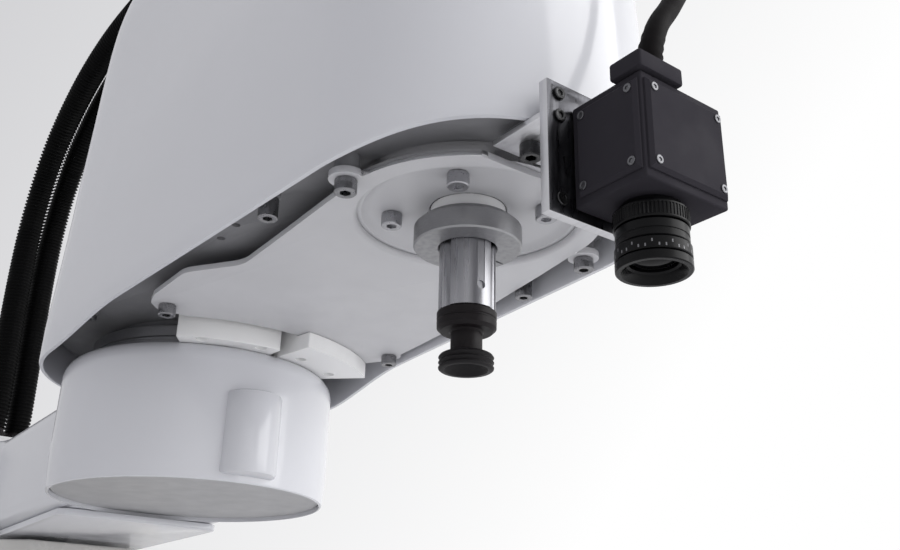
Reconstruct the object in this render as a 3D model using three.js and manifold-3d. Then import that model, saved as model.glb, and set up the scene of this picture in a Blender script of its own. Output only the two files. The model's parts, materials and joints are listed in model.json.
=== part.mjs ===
// Four-axis SCARA robot arm with a suction tool and a machine-vision camera.
// Millimetres, +Z up. The origin is on the J1 axis, on the base's mounting face.
// Both arms lie straight along +X and the tool shaft is fully raised.
import * as THREE from "three";
import { mergeVertices } from "three/addons/utils/BufferGeometryUtils.js";
import Module from "manifold-3d";

const wasm = await Module();
wasm.setup();

// Driving dimensions
const ARM_1 = 315; // J1 axis to J2 axis
const ARM_2 = 285; // J2 axis to tool shaft axis
const SHAFT_X = ARM_1 + ARM_2;
const TOOL_Z = 340; // underside of the shaft collar
const GAP = 0.3; // between pieces that touch
const WALL = 3; // outer arm cover

const BASE_TOP = 256;
const ARM_BOTTOM = 264;
const ARM_TOP = 340;
const ELBOW_TOP = 343;
const PLATE_Z = TOOL_Z + 13; // underside of the outer arm's bottom plate
const PLATE_TOP = PLATE_Z + 3;
const BRACKET_TOP = PLATE_TOP + 2.8;
const FRAME_Z = TOOL_Z + 24; // underside of the outer arm's casting
const FRAME_TOP = FRAME_Z + 12;
const COVER_TOP = TOOL_Z + 300;
const DRIVE_Z = FRAME_TOP + 70; // underside of the plate that carries the motors
const SHAFT_R = 12.5;
const COLLAR_R = 24.2;
const NUT_R = 22;
const HOUSING_R = 54;
const CONDUIT_R = 10;
const CABLE_R = 4.25;

// ---------------------------------------------------------------- materials
function paint(color, roughness, metalness = 0) {
  return new THREE.MeshStandardMaterial({ color, roughness, metalness });
}
const whitePaint = paint(0xe4e5ea, 0.25);
const plateWhite = paint(0xd9dadd, 0.45);
const baseCream = paint(0xdedbd2, 0.4);
const castMetal = paint(0x6d6f73, 0.6, 0.7);
const steel = paint(0xc4c5c7, 0.25, 1);
const greySteel = paint(0x8f8f90, 0.45, 0.9);
const aluminium = paint(0xc3c5c6, 0.4, 0.9);
const motorBlack = paint(0x26272a, 0.5);
const cameraBlack = paint(0x303134, 0.5);
const rubberBlack = paint(0x161617, 0.8);
const whitePlastic = paint(0xf2f2f0, 0.4);
const glassBlue = paint(0x20242c, 0.05);

// ------------------------------------------------------------------ shaping
function solid(geometry) {
  const bare = geometry.clone();
  bare.deleteAttribute("normal");
  bare.deleteAttribute("uv");
  const merged = mergeVertices(bare, 1e-3);
  return new wasm.Manifold(
    new wasm.Mesh({
      numProp: 3,
      vertProperties: new Float32Array(merged.attributes.position.array),
      triVerts: new Uint32Array(merged.index.array),
    }),
  );
}

function geometryOf(body) {
  const mesh = body.getMesh();
  const geometry = new THREE.BufferGeometry();
  geometry.setAttribute("position", new THREE.BufferAttribute(mesh.vertProperties, 3));
  geometry.setIndex(new THREE.BufferAttribute(mesh.triVerts, 1));
  return geometry;
}

function join(first, ...others) {
  return geometryOf(others.reduce((sum, g) => sum.add(solid(g)), solid(first)));
}

function cut(first, ...tools) {
  return geometryOf(tools.reduce((rest, g) => rest.subtract(solid(g)), solid(first)));
}

function rad(degrees) {
  return THREE.MathUtils.degToRad(degrees);
}

// An outline pulled straight up from z0 to z1.
function prism(shape, z0, z1, curveSegments = 10) {
  const options = { depth: z1 - z0, bevelEnabled: false, curveSegments };
  return new THREE.ExtrudeGeometry(shape, options).translate(0, 0, z0);
}

function block(x0, x1, y0, y1, z0, z1) {
  const box = new THREE.BoxGeometry(x1 - x0, y1 - y0, z1 - z0);
  return box.translate((x0 + x1) / 2, (y0 + y1) / 2, (z0 + z1) / 2);
}

// A profile of [radius, height] points turned about the vertical line through (x, y).
function turned(profile, x = 0, y = 0, sides = 24) {
  const points = profile.map(([r, z]) => new THREE.Vector2(r, z));
  const lathe = new THREE.LatheGeometry(points, sides);
  return lathe.rotateX(Math.PI / 2).translate(x, y, 0);
}

// A closed ring: radii and heights of a rectangle turned about (x, y).
function ring(inner, outer, z0, z1, x = 0, y = 0, sides = 24) {
  const profile = [[inner, z0], [outer, z0], [outer, z1], [inner, z1], [inner, z0]];
  return turned(profile, x, y, sides);
}

// A cylinder from one point to another.
function rod(from, to, radius, sides = 12) {
  const start = new THREE.Vector3(...from);
  const along = new THREE.Vector3(...to).sub(start);
  const geometry = new THREE.CylinderGeometry(radius, radius, along.length(), sides);
  const turn = new THREE.Quaternion().setFromUnitVectors(
    new THREE.Vector3(0, 1, 0),
    along.clone().normalize(),
  );
  geometry.applyQuaternion(turn);
  const middle = start.addScaledVector(along, 0.5);
  return geometry.translate(middle.x, middle.y, middle.z);
}

function rodZ(x, y, z0, z1, radius, sides = 12) {
  return rod([x, y, z0], [x, y, z1], radius, sides);
}

// A round tube along a smooth curve through hand-picked points.
function cord(points, radius, sides, steps) {
  const curve = new THREE.CatmullRomCurve3(points.map((p) => new THREE.Vector3(...p)));
  const section = new THREE.Shape();
  for (let i = 0; i < sides; i++) {
    const a = (2 * Math.PI * i) / sides;
    const at = [radius * Math.cos(a), radius * Math.sin(a)];
    if (i === 0) section.moveTo(...at);
    else section.lineTo(...at);
  }
  return new THREE.ExtrudeGeometry(section, { steps, extrudePath: curve });
}

// The outline round two circles on the x axis, at x0 and x1, and their outer tangents.
function stadium(x0, r0, x1, r1) {
  const lean = Math.asin((r0 - r1) / (x1 - x0));
  const shape = new THREE.Shape();
  shape.absarc(x1, 0, r1, -(Math.PI / 2 - lean), Math.PI / 2 - lean, false);
  shape.absarc(x0, 0, r0, Math.PI / 2 - lean, 1.5 * Math.PI + lean, false);
  return shape;
}

function polygon(points) {
  return new THREE.Shape(points.map(([x, y]) => new THREE.Vector2(x, y)));
}

function roundedRectangle(x0, x1, y0, y1, r) {
  const shape = new THREE.Shape();
  shape.absarc(x1 - r, y0 + r, r, -Math.PI / 2, 0, false);
  shape.absarc(x1 - r, y1 - r, r, 0, Math.PI / 2, false);
  shape.absarc(x0 + r, y1 - r, r, Math.PI / 2, Math.PI, false);
  shape.absarc(x0 + r, y0 + r, r, Math.PI, 1.5 * Math.PI, false);
  return shape;
}

// A closed skin through stacked rings that all have the same number of points.
function loft(rings) {
  const count = rings[0].length;
  const points = rings.flat();
  const faces = [];
  for (let k = 0; k < rings.length - 1; k++) {
    for (let i = 0; i < count; i++) {
      const a = k * count + i;
      const b = k * count + ((i + 1) % count);
      faces.push(a, b, b + count, a, b + count, a + count);
    }
  }
  const bottom = points.length;
  const top = bottom + 1;
  const last = (rings.length - 1) * count;
  points.push(centreOf(rings[0]), centreOf(rings[rings.length - 1]));
  for (let i = 0; i < count; i++) {
    const next = (i + 1) % count;
    faces.push(bottom, next, i, top, last + i, last + next);
  }
  const geometry = new THREE.BufferGeometry();
  geometry.setAttribute("position", new THREE.Float32BufferAttribute(points.flat(), 3));
  geometry.setIndex(faces);
  return geometry;
}

function centreOf(points) {
  return [0, 1, 2].map((k) => points.reduce((sum, p) => sum + p[k], 0) / points.length);
}

// ---------------------------------------------------------------- assembly
const robot = new THREE.Group();

function add(name, geometry, material) {
  const mesh = new THREE.Mesh(geometry, material);
  mesh.name = name;
  robot.add(mesh);
}

// A socket head screw whose head hangs below the face at z, with its shank going up.
function hangingScrew(x, y, z, size, shank) {
  const head = rodZ(x, y, z - size, z, 0.8 * size, 12);
  const socket = rodZ(x, y, z - size - 1, z - 0.4 * size, 0.42 * size, 6);
  return cut(join(head, rodZ(x, y, z - 0.5, z + shank, 0.4 * size, 8)), socket);
}

// --------------------------------------------------------------------- base
const FOOT = { x0: -125, x1: 140, y: 95, z: 18 };
const FOOT_HOLES = [[-105, -75], [-105, 75], [120, -75], [120, 75]];
const FOOT_HOLE_R = 5.5;
const REAR_X = -110;
const REDUCER_R = 61.7;
const COLUMN = [
  [118, -40], [118, 40], [80, 78], [-80, 78], [REAR_X, 60], [REAR_X, -60], [-80, -78], [80, -78],
];

function baseHousing() {
  const foot = prism(roundedRectangle(FOOT.x0, FOOT.x1, -FOOT.y, FOOT.y, 14), 0, FOOT.z, 5);
  const column = prism(polygon(COLUMN), FOOT.z - 2, BASE_TOP);
  const inside = polygon(COLUMN.map(([x, y]) => [x * 0.88, y * 0.88]));
  const holes = FOOT_HOLES.map(([x, y]) => rodZ(x, y, -1, FOOT.z + 1, FOOT_HOLE_R, 16));
  return cut(
    join(foot, column),
    prism(inside, FOOT.z + 8, BASE_TOP - 14),
    rodZ(0, 0, BASE_TOP - 20, BASE_TOP + 1, REDUCER_R + 2 * GAP, 32),
    block(REAR_X - 1, -80, -48, 48, 42, 198),
    ...holes,
  );
}

const SOCKETS = [
  { name: "power_connector", y: -25, z: 150, r: 17 },
  { name: "signal_connector", y: 25, z: 150, r: 13 },
];
const FITTINGS = [-22, 22]; // the two hose fittings on one manifold, across the panel
const MANIFOLD_Z = 85;
const FITTING_R = 6;

function rearPanel() {
  const x = REAR_X - GAP;
  const plate = block(x - 3, x, -56, 56, 34, 206);
  const holes = [
    ...SOCKETS.map((s) => rod([x - 5, s.y, s.z], [x + 5, s.y, s.z], s.r - 2, 24)),
    ...FITTINGS.map((y) => rod([x - 5, y, MANIFOLD_Z], [x + 5, y, MANIFOLD_Z], FITTING_R)),
  ];
  return cut(plate, ...holes);
}

// A round bulkhead connector: square flange on the panel, shell behind and in front.
function bulkheadConnector({ y, z, r }) {
  const face = REAR_X - 2 * GAP - 3;
  const flange = block(face - 3, face, y - r - 3, y + r + 3, z - r - 3, z + r + 3);
  const shell = rod([face - 22, y, z], [face + 12, y, z], r - 2 - GAP, 24);
  const collar = rod([face - 22, y, z], [face - 8, y, z], r, 24);
  const socket = rod([face - 23, y, z], [face - 8, y, z], r - 4.5, 20);
  return cut(join(flange, shell, collar), socket);
}

function airManifold() {
  const face = REAR_X - 2 * GAP - 3;
  const bar = block(face - 8, face, -34, 34, MANIFOLD_Z - 12, MANIFOLD_Z + 12);
  const parts = FITTINGS.flatMap((y) => [
    rod([face - 1, y, MANIFOLD_Z], [face + 10, y, MANIFOLD_Z], FITTING_R - GAP),
    rod([face - 13, y, MANIFOLD_Z], [face - 7, y, MANIFOLD_Z], 9, 6),
    rod([face - 26, y, MANIFOLD_Z], [face - 12, y, MANIFOLD_Z], 6.5, 16),
  ]);
  const bores = FITTINGS.map((y) =>
    rod([face - 27, y, MANIFOLD_Z], [face + 11, y, MANIFOLD_Z], 4, 12),
  );
  return cut(join(bar, ...parts), ...bores);
}

add("base_housing", baseHousing(), baseCream);
add("base_rear_panel", rearPanel(), aluminium);
for (const socket of SOCKETS) add(socket.name, bulkheadConnector(socket), motorBlack);
add("air_manifold", airManifold(), aluminium);

// The J1 motor and reducer are hollow, so that the harness runs up their middle.
const J1_MOTOR_TOP = 211;
add(
  "j1_motor",
  turned([[15, 60], [38, 60], [38, 78], [42, 80], [42, 196], [48, 197], [48, J1_MOTOR_TOP],
    [15, J1_MOTOR_TOP], [15, 60]]),
  motorBlack,
);
add(
  "j1_reducer",
  turned([[20, J1_MOTOR_TOP + GAP], [REDUCER_R, J1_MOTOR_TOP + GAP], [REDUCER_R, BASE_TOP + GAP],
    [74, BASE_TOP + GAP], [74, 259], [40, 259], [40, 225], [20, 225],
    [20, J1_MOTOR_TOP + GAP]]),
  steel,
);

// ---------------------------------------------------------------- inner arm
const HUB_R = 39.5;
const SHOULDER_R = 84;
const WAIST = 62;
const ELBOW_R = 85.4;
const ARM_WALL = 7;

add(
  "j1_output_hub",
  turned([[17, 226], [HUB_R, 226], [HUB_R, 259.6], [60, 259.6], [60, ARM_BOTTOM - GAP],
    [17, ARM_BOTTOM - GAP], [17, 226]]),
  steel,
);

// Half of the inner arm's outline: shoulder circle, concave blend, straight waist.
function innerArmOutline(inset) {
  const blend = 60 + inset;
  const r = SHOULDER_R - inset;
  const half = WAIST - inset;
  const x = Math.sqrt((r + blend) ** 2 - (half + blend) ** 2);
  const turn = Math.atan2(half + blend, x);
  const end = ARM_1 - inset;
  const shape = new THREE.Shape();
  shape.moveTo(end, -half);
  shape.lineTo(end, half);
  shape.absarc(x, half + blend, blend, -Math.PI / 2, turn - Math.PI, true);
  shape.absarc(0, 0, r, turn, 2 * Math.PI - turn, false);
  shape.absarc(x, -half - blend, blend, Math.PI - turn, Math.PI / 2, true);
  return shape;
}

const BOSS_X = 80; // the half-round boss on the elbow's nose, from the J2 axis
const BOSS_R = 17.5;
const COVER_Z = ARM_BOTTOM + 2.5;
const COVER_R = 82;
const REDUCER_BORE = 68;
const CONDUIT_EXITS = [[-29, -52], [-43, -28]];

function innerArmCasting() {
  const cup = turned([[0, ARM_BOTTOM], [ELBOW_R - 1.2, ARM_BOTTOM], [ELBOW_R, 280], [ELBOW_R, 335],
    [ELBOW_R - 1.6, 340], [ELBOW_R - 5, ELBOW_TOP], [0, ELBOW_TOP]], ARM_1, 0, 40);
  const boss = rodZ(ARM_1 + BOSS_X, 0, 268, 316, BOSS_R, 24);
  const outside = join(prism(innerArmOutline(0), ARM_BOTTOM, ARM_TOP, 12), cup, boss);
  return cut(
    outside,
    prism(innerArmOutline(ARM_WALL), ARM_BOTTOM + 10, ARM_TOP - 8, 12),
    rodZ(ARM_1, 0, ARM_BOTTOM - 1, COVER_Z + 3.5, COVER_R + 0.4, 40),
    rodZ(ARM_1, 0, ARM_BOTTOM, ELBOW_TOP - 9, 78, 40),
    rodZ(ARM_1, 0, ARM_TOP - 20, ELBOW_TOP + 1, REDUCER_BORE, 40),
    block(72, 232, -40, 40, ARM_BOTTOM - 1, ARM_BOTTOM + 12),
    rodZ(0, 0, ARM_BOTTOM - 1, ARM_BOTTOM + 12, 17, 24),
    ...CONDUIT_EXITS.map(([x, y]) => rodZ(x, y, ARM_TOP - 10, ARM_TOP + 1, 8, 16)),
  );
}

add("inner_arm_casting", innerArmCasting(), whitePaint);
add(
  "inner_arm_cover",
  prism(roundedRectangle(64, 240, -56, 56, 8), ARM_BOTTOM - GAP - 4.5, ARM_BOTTOM - GAP, 5),
  whitePaint,
);
add("elbow_cover", rodZ(ARM_1, 0, COVER_Z, COVER_Z + 3, COVER_R, 40), plateWhite);

// The J2 reducer fills the elbow and stands proud of it to carry the outer arm.
add(
  "j2_reducer",
  turned([[12, 290], [60, 290], [60, 325], [REDUCER_BORE - GAP, 325],
    [REDUCER_BORE - GAP, ELBOW_TOP + GAP], [70, ELBOW_TOP + GAP], [70, TOOL_Z + 17.6],
    [12, TOOL_Z + 17.6], [12, 290]], ARM_1, 0, 40),
  greySteel,
);

// Two stopper blocks bolted up to the outer arm, just over the top of the elbow. Below the
// bottom plate a block may reach out past the plate's round edge.
const STOPPER = { inner: 70.6, bolts: 88.5, reach: 97.6, z0: ELBOW_TOP + GAP };
const STOPPERS = [
  { name: "stopper_block_right", outer: 92, from: -33, to: 6, holes: [-24, -1] },
  { name: "stopper_block_left", outer: 110, from: 10, to: 46, holes: [18, 40] },
];

function stopperArc(outer, from, to, z0, z1) {
  const shape = new THREE.Shape();
  shape.absarc(0, 0, outer, rad(from), rad(to), false);
  shape.absarc(0, 0, STOPPER.inner, rad(to), rad(from), true);
  return prism(shape, z0, z1, 10).translate(ARM_1, 0, 0);
}

function stopperBlock({ outer, from, to, holes }) {
  const low = stopperArc(outer, from, to, STOPPER.z0, PLATE_Z - GAP);
  const high = stopperArc(Math.min(outer, STOPPER.reach), from, to, STOPPER.z0, FRAME_Z - GAP);
  const bores = holes.map((angle) => {
    const x = ARM_1 + STOPPER.bolts * Math.cos(rad(angle));
    return rodZ(x, STOPPER.bolts * Math.sin(rad(angle)), STOPPER.z0 - 1, STOPPER.z0 + 5, 3, 12);
  });
  return cut(join(low, high), ...bores);
}
for (const stopper of STOPPERS) add(stopper.name, stopperBlock(stopper), plateWhite);

// A bonnet on the shoulder turns the harness out of the arm into two conduits.
const BONNET_Z = ARM_TOP + GAP;
const BONNET_TOP = ARM_TOP + 10;

function cableBonnet() {
  const shell = prism(roundedRectangle(-62, 20, -71, -9, 10), BONNET_Z, BONNET_TOP, 5);
  const bores = CONDUIT_EXITS.map(([x, y]) => rodZ(x, y, BONNET_Z - 1, BONNET_TOP + 1, 7, 16));
  return cut(shell, ...bores);
}
add("cable_bonnet", cableBonnet(), whitePlastic);

// The conduits' route from the bonnet up and over to the roof of the outer arm: x, z and
// how much of the way across it has come from the exit's y to the roof gland's.
const GLAND_LENGTH = 16;
const ROOF_GLANDS = [[300, -26], [300, -2]];
const CONDUIT_ARC = [
  [-40, 384, 0], [-43, 420, 0], [-49, 470, 0], [-52, 520, 0], [-49, 566, 0], [-36, 610, 0.02],
  [-9, 650, 0.06], [40, 690, 0.2], [92, 712, 0.36], [150, 722, 0.55], [208, 722, 0.75],
  [254, 712, 0.9], [284, 695, 0.97], [298, 678, 1], [300, 668, 1],
];

function conduitRoute(k) {
  const [x0, y0] = CONDUIT_EXITS[k];
  const [x1, y1] = ROOF_GLANDS[k];
  const start = [x0, y0, BONNET_TOP + GLAND_LENGTH + 2 * GAP];
  const end = [x1, y1, COVER_TOP + GLAND_LENGTH + 2 * GAP];
  const shift = x0 - CONDUIT_ARC[0][0];
  const along = CONDUIT_ARC.map(([x, z, share]) => [
    x + shift * (1 - share),
    y0 + (y1 - y0) * share,
    z,
  ]);
  return [start, ...along, end];
}

// A conduit gland: hexagon nut, body and clamping sleeve, bored for the wires.
function conduitGland(x, y, z) {
  const nut = rodZ(x, y, z, z + 6, 11.6, 6);
  const sleeve = turned([[0, z + 5], [11, z + 5], [11, z + 13], [9.8, z + 16], [0, z + 16]], x, y, 20);
  return cut(join(nut, sleeve), rodZ(x, y, z - 1, z + 17, 7, 12));
}

["outer", "inner"].forEach((side, k) => {
  const [x0, y0] = CONDUIT_EXITS[k];
  const [x1, y1] = ROOF_GLANDS[k];
  add("lower_gland_" + side, conduitGland(x0, y0, BONNET_TOP + GAP), motorBlack);
  add("upper_gland_" + side, conduitGland(x1, y1, COVER_TOP + GAP), motorBlack);
  add("conduit_" + side, cord(conduitRoute(k), CONDUIT_R, 8, 30), rubberBlack);
});

// ---------------------------------------------------------- outer arm frame
const PLATE_SCREWS = {
  near: [ARM_1 + 96, -64],
  nose: [SHAFT_X, -64],
  far: [SHAFT_X + 4, 68],
  elbow: [ARM_1 + 100, 81.5],
};
const COVER_POSTS = [[ARM_1 + 237, -75], [ARM_1 + 237, 75], [ARM_1 + 31, -87], [ARM_1 + 31, 87]];
const PILLARS = [[ARM_1 + 78, 0], [ARM_1 + 215, -51], [ARM_1 + 215, 51]];
const NUT_BORE = 26;

function outerArmFrame() {
  const screws = Object.values(PLATE_SCREWS);
  const plate = prism(stadium(ARM_1, 93, SHAFT_X, 76), FRAME_Z, FRAME_TOP, 14);
  const seat = rodZ(ARM_1, 0, TOOL_Z + 18, FRAME_Z + 1, 60, 32);
  const boss = rodZ(ARM_1, 0, FRAME_TOP - 1, FRAME_TOP + 20, 52, 32);
  const pillars = PILLARS.map(([x, y]) => rodZ(x, y, FRAME_TOP - 1, DRIVE_Z - GAP, 7));
  const ribs = [-1, 1].map((side) =>
    block(ARM_1 + 45, SHAFT_X - 60, side * 70 - 4, side * 70 + 4, FRAME_TOP - 1, FRAME_TOP + 8),
  );
  const coverPosts = COVER_POSTS.map(([x, y]) => rodZ(x, y, TOOL_Z + 20, FRAME_Z + 1, 5, 16));
  const platePosts = screws.map(([x, y]) => rodZ(x, y, PLATE_TOP + GAP, FRAME_Z + 1, 5.5));
  const bracketPad = block(SHAFT_X + 55, SHAFT_X + 70, -26, 26, BRACKET_TOP + GAP, FRAME_Z + 1);
  return cut(
    join(plate, seat, boss, ...pillars, ...ribs, ...coverPosts, ...platePosts, bracketPad),
    rodZ(ARM_1, 0, TOOL_Z, FRAME_TOP + 30, 20, 24),
    rodZ(SHAFT_X, 0, FRAME_Z - 1, FRAME_TOP + 1, NUT_BORE, 32),
    ...screws.map(([x, y]) => rodZ(x, y, PLATE_TOP - 1, PLATE_TOP + 7, 2.7, 8)),
  );
}

// The bottom plate's edge, from the J2 axis outwards, with its three screw lugs.
function plateOutline() {
  const nose = 60.7;
  const shape = new THREE.Shape();
  shape.moveTo(86, -66);
  for (const [x, y] of [[94, -73], [106, -76], [147, -76], [176, -57], [213, -58], [272, -60]])
    shape.lineTo(x, y);
  shape.absarc(ARM_2, 0, nose, rad(-84), rad(-33), false);
  shape.lineTo(ARM_2 + 51, -30);
  shape.lineTo(ARM_2 + 51, 30);
  shape.absarc(ARM_2, 0, nose, rad(33), rad(84), false);
  for (const [x, y] of [[260, 66], [223, 72], [178, 80], [104, 86], [88, 85]])
    shape.lineTo(x, y);
  shape.absarc(0, 0, 98.5, rad(47), rad(-29), true);
  return shape;
}

const RECESS_R = 50;
const LUG_R = 7.5;
const SEAL_R = 17;
const FLANGE_SCREWS = [45, 135, 225, 315].map((angle) => [
  SHAFT_X + 35 * Math.cos(rad(angle)),
  35 * Math.sin(rad(angle)),
]);

function bottomPlate() {
  const screws = Object.values(PLATE_SCREWS);
  const plate = prism(plateOutline(), PLATE_Z, PLATE_TOP, 12).translate(ARM_1, 0, 0);
  const lugs = screws.map(([x, y]) => rodZ(x, y, PLATE_Z, PLATE_TOP, LUG_R, 20));
  const holes = screws.map(([x, y]) => rodZ(x, y, PLATE_Z - 1, PLATE_TOP + 1, 2.7));
  const opening = rodZ(SHAFT_X, 0, PLATE_Z - 1, PLATE_TOP + 1, RECESS_R, 40);
  return cut(join(plate, ...lugs), opening, ...holes);
}

// The flanged housing that locates the spline nut, seen inside the plate's round opening.
function splineHousing() {
  const z = PLATE_TOP + GAP;
  const flange = turned([[SEAL_R + GAP, z + 2.7], [SEAL_R + GAP + 12, z + 2.7],
    [RECESS_R - 2, z + 2.7], [RECESS_R - 2, z], [HOUSING_R, z], [HOUSING_R, FRAME_Z - GAP],
    [NUT_R + 1, FRAME_Z - GAP], [NUT_R + 1, z + 5], [SEAL_R + GAP, z + 5],
    [SEAL_R + GAP, z + 2.7]], SHAFT_X, 0, 32);
  return cut(flange, ...FLANGE_SCREWS.map(([x, y]) => rodZ(x, y, z, FRAME_Z, 2.7)));
}

add("outer_arm_frame", outerArmFrame(), castMetal);
add("bottom_plate", bottomPlate(), plateWhite);
add("spline_housing", splineHousing(), plateWhite);
add("shaft_seal_ring", ring(12.9, SEAL_R, TOOL_Z + 12.6, TOOL_Z + 19.2, SHAFT_X, 0), whitePlastic);
FLANGE_SCREWS.forEach(([x, y], i) =>
  add("flange_screw_" + (i + 1), hangingScrew(x, y, TOOL_Z + 18.7, 6, 4), greySteel),
);
for (const [name, [x, y]] of Object.entries(PLATE_SCREWS))
  add("plate_screw_" + name, hangingScrew(x, y, PLATE_Z - GAP, 6, 8), greySteel);

// ---------------------------------------------------------- outer arm cover
const COVER_STATIONS = [
  // height above TOOL_Z, tail radius, nose radius
  [24, 100.6, 82], [60, 98.6, 82], [95, 96.9, 81], [130, 95.6, 79], [170, 93.8, 73],
  [205, 92.4, 65.5], [240, 90.3, 55], [262, 87.5, 46.5], [281, 82.5, 38.5], [293, 72, 29],
  [300, 54, 16],
];
const CABLE_GLAND = [ARM_1 + 250, 0];
const RIM_LOW = TOOL_Z + 1.5;
const RIM_STEPS = [
  // starts rising at x, level again at x, by how much
  [ARM_1 - 5, ARM_1 + 95, 9.5],
  [ARM_1 + 297, ARM_1 + 362, 8.4],
];

// The cover's lower edge: lowest round the elbow, highest over the camera bracket.
function rimZ(x) {
  const rise = (z, [from, to, height]) => z + height * THREE.MathUtils.smoothstep(x, from, to);
  return RIM_STEPS.reduce(rise, RIM_LOW);
}

function coverRing([height, tail, nose], inset, z) {
  const nosePoints = 16;
  const tailPoints = 16;
  const lean = Math.asin((tail - nose) / ARM_2);
  const points = [];
  for (let i = 0; i <= nosePoints; i++) {
    const a = (Math.PI / 2 - lean) * (-1 + (2 * i) / nosePoints);
    const r = nose - inset;
    points.push([SHAFT_X + r * Math.cos(a), r * Math.sin(a)]);
  }
  for (let i = 0; i <= tailPoints; i++) {
    const a = Math.PI / 2 - lean + ((Math.PI + 2 * lean) * i) / tailPoints;
    const r = tail - inset;
    points.push([ARM_1 + r * Math.cos(a), r * Math.sin(a)]);
  }
  return points.map(([x, y]) => [x, y, z === undefined ? TOOL_Z + height - inset : z(x)]);
}

function outerArmCover() {
  const [first] = COVER_STATIONS;
  const outer = [coverRing(first, 0, rimZ)].concat(COVER_STATIONS.map((s) => coverRing(s, 0)));
  const inner = [coverRing(first, WALL, (x) => rimZ(x) - 2)].concat(
    COVER_STATIONS.map((s) => coverRing(s, WALL)),
  );
  const holes = ROOF_GLANDS.map(([x, y]) => rodZ(x, y, COVER_TOP - 8, COVER_TOP + 1, 7, 12));
  holes.push(rodZ(...CABLE_GLAND, COVER_TOP - 10, COVER_TOP + 1, 4, 12));
  return cut(loft(outer), loft(inner), ...holes);
}

add("outer_arm_cover", outerArmCover(), whitePaint);

// -------------------------------------------------------------- drive train
const DRIVE_TOP = DRIVE_Z + 6;
const MOTOR_AT = { theta: [ARM_1 + 120, 36], z: [ARM_1 + 120, -36] };
const MOTOR_R = 29;
const MOTOR_SHAFT_R = 5;
const BELT_Z = { theta: FRAME_TOP + 25, z: FRAME_TOP + 45 };
const BELT_WIDTH = 10;
const BELT_THICK = 1.5;
const BELT_GAP = 0.7;
const BIG_PULLEY_R = 25;
const SMALL_PULLEY_R = 12.5;
const RUNNING = 0.4; // clearance round the turning shaft

// A motor that hangs its shaft down through the plate under it.
function motor(x, y, z, r, length, shaftR, shaftDrop) {
  const body = turned([[0, z], [r, z], [r, z + 0.72 * length], [0.92 * r, z + 0.74 * length],
    [0.92 * r, z + length], [0, z + length]], x, y, 28);
  const flange = block(x - r, x + r, y - r, y + r, z, z + 8);
  return join(body, flange, rodZ(x, y, z - shaftDrop, z + 1, shaftR));
}

function drivePlate() {
  const [x, y] = MOTOR_AT.theta;
  const plate = prism(stadium(x, y + 34, SHAFT_X, 56), DRIVE_Z, DRIVE_TOP, 12);
  const shaftHoles = [MOTOR_AT.theta, MOTOR_AT.z].map((at) =>
    rodZ(...at, DRIVE_Z - 1, DRIVE_TOP + 1, MOTOR_SHAFT_R + 3, 16),
  );
  return cut(plate, rodZ(SHAFT_X, 0, DRIVE_Z - 1, DRIVE_TOP + 1, SHAFT_R + 2, 24), ...shaftHoles);
}

// A belt from the shaft's pulley round a motor's pulley.
function belt(drive) {
  const [x, y] = MOTOR_AT[drive];
  const reach = Math.hypot(x - SHAFT_X, y);
  const z = BELT_Z[drive];
  const loop = (r) => stadium(0, BIG_PULLEY_R + r, reach, SMALL_PULLEY_R + r);
  const outside = prism(loop(BELT_GAP + BELT_THICK), z, z + BELT_WIDTH, 10);
  const inside = prism(loop(BELT_GAP), z - 1, z + BELT_WIDTH + 1, 10);
  return cut(outside, inside).rotateZ(Math.atan2(y, x - SHAFT_X)).translate(SHAFT_X, 0, 0);
}

// A toothed pulley between two flanges that keep the belt on.
function pulley(drive, inner, outer, x, y) {
  const z = BELT_Z[drive];
  return ring(inner, outer, z - 1, z + BELT_WIDTH + 1, x, y);
}

add("j2_motor", motor(ARM_1, 0, FRAME_TOP + 20 + GAP, 42, 150, 9, 100), motorBlack);
add("drive_plate", drivePlate(), aluminium);
for (const [name, [x, y]] of Object.entries(MOTOR_AT)) {
  const drop = DRIVE_TOP + GAP - BELT_Z[name] + 2;
  const small = SMALL_PULLEY_R;
  add(name + "_motor", motor(x, y, DRIVE_TOP + GAP, MOTOR_R, 110, MOTOR_SHAFT_R, drop), motorBlack);
  add(name + "_belt", belt(name), rubberBlack);
  add(name + "_motor_pulley", pulley(name, MOTOR_SHAFT_R + GAP, small, x, y), aluminium);
}

// The spline nut turns the shaft; its pulley sits on top of it.
const SPLINE_NUT_TOP = BELT_Z.theta - 1 - GAP;
const BORE_R = SHAFT_R + RUNNING;
add("spline_nut", ring(BORE_R, NUT_R, PLATE_TOP + 6, SPLINE_NUT_TOP, SHAFT_X, 0), steel);
add("theta_pulley", pulley("theta", BORE_R, BIG_PULLEY_R, SHAFT_X, 0), aluminium);

// The ball screw nut raises and lowers the shaft; its pulley is part of it.
const SCREW_NUT_TOP = DRIVE_Z - 1;
const PULLEY_TOP = BELT_Z.z + BELT_WIDTH + 1;
add(
  "screw_nut",
  turned([[BORE_R, BELT_Z.z - 1], [BIG_PULLEY_R, BELT_Z.z - 1], [BIG_PULLEY_R, PULLEY_TOP],
    [19.6, PULLEY_TOP], [19.6, SCREW_NUT_TOP], [BORE_R, SCREW_NUT_TOP],
    [BORE_R, BELT_Z.z - 1]], SHAFT_X, 0),
  steel,
);
add("screw_bearing", ring(20.2, 34, PULLEY_TOP + 1.5, DRIVE_Z - GAP, SHAFT_X, 0), steel);

// --------------------------------------------------------------- tool shaft
const SHAFT_END = TOOL_Z - 30;
const SHAFT_TOP = TOOL_Z + 284;
const SHAFT_BORE = 5.5;
const COLLAR_SLOT = rad(97);
const SET_SCREW = rad(53);

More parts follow.
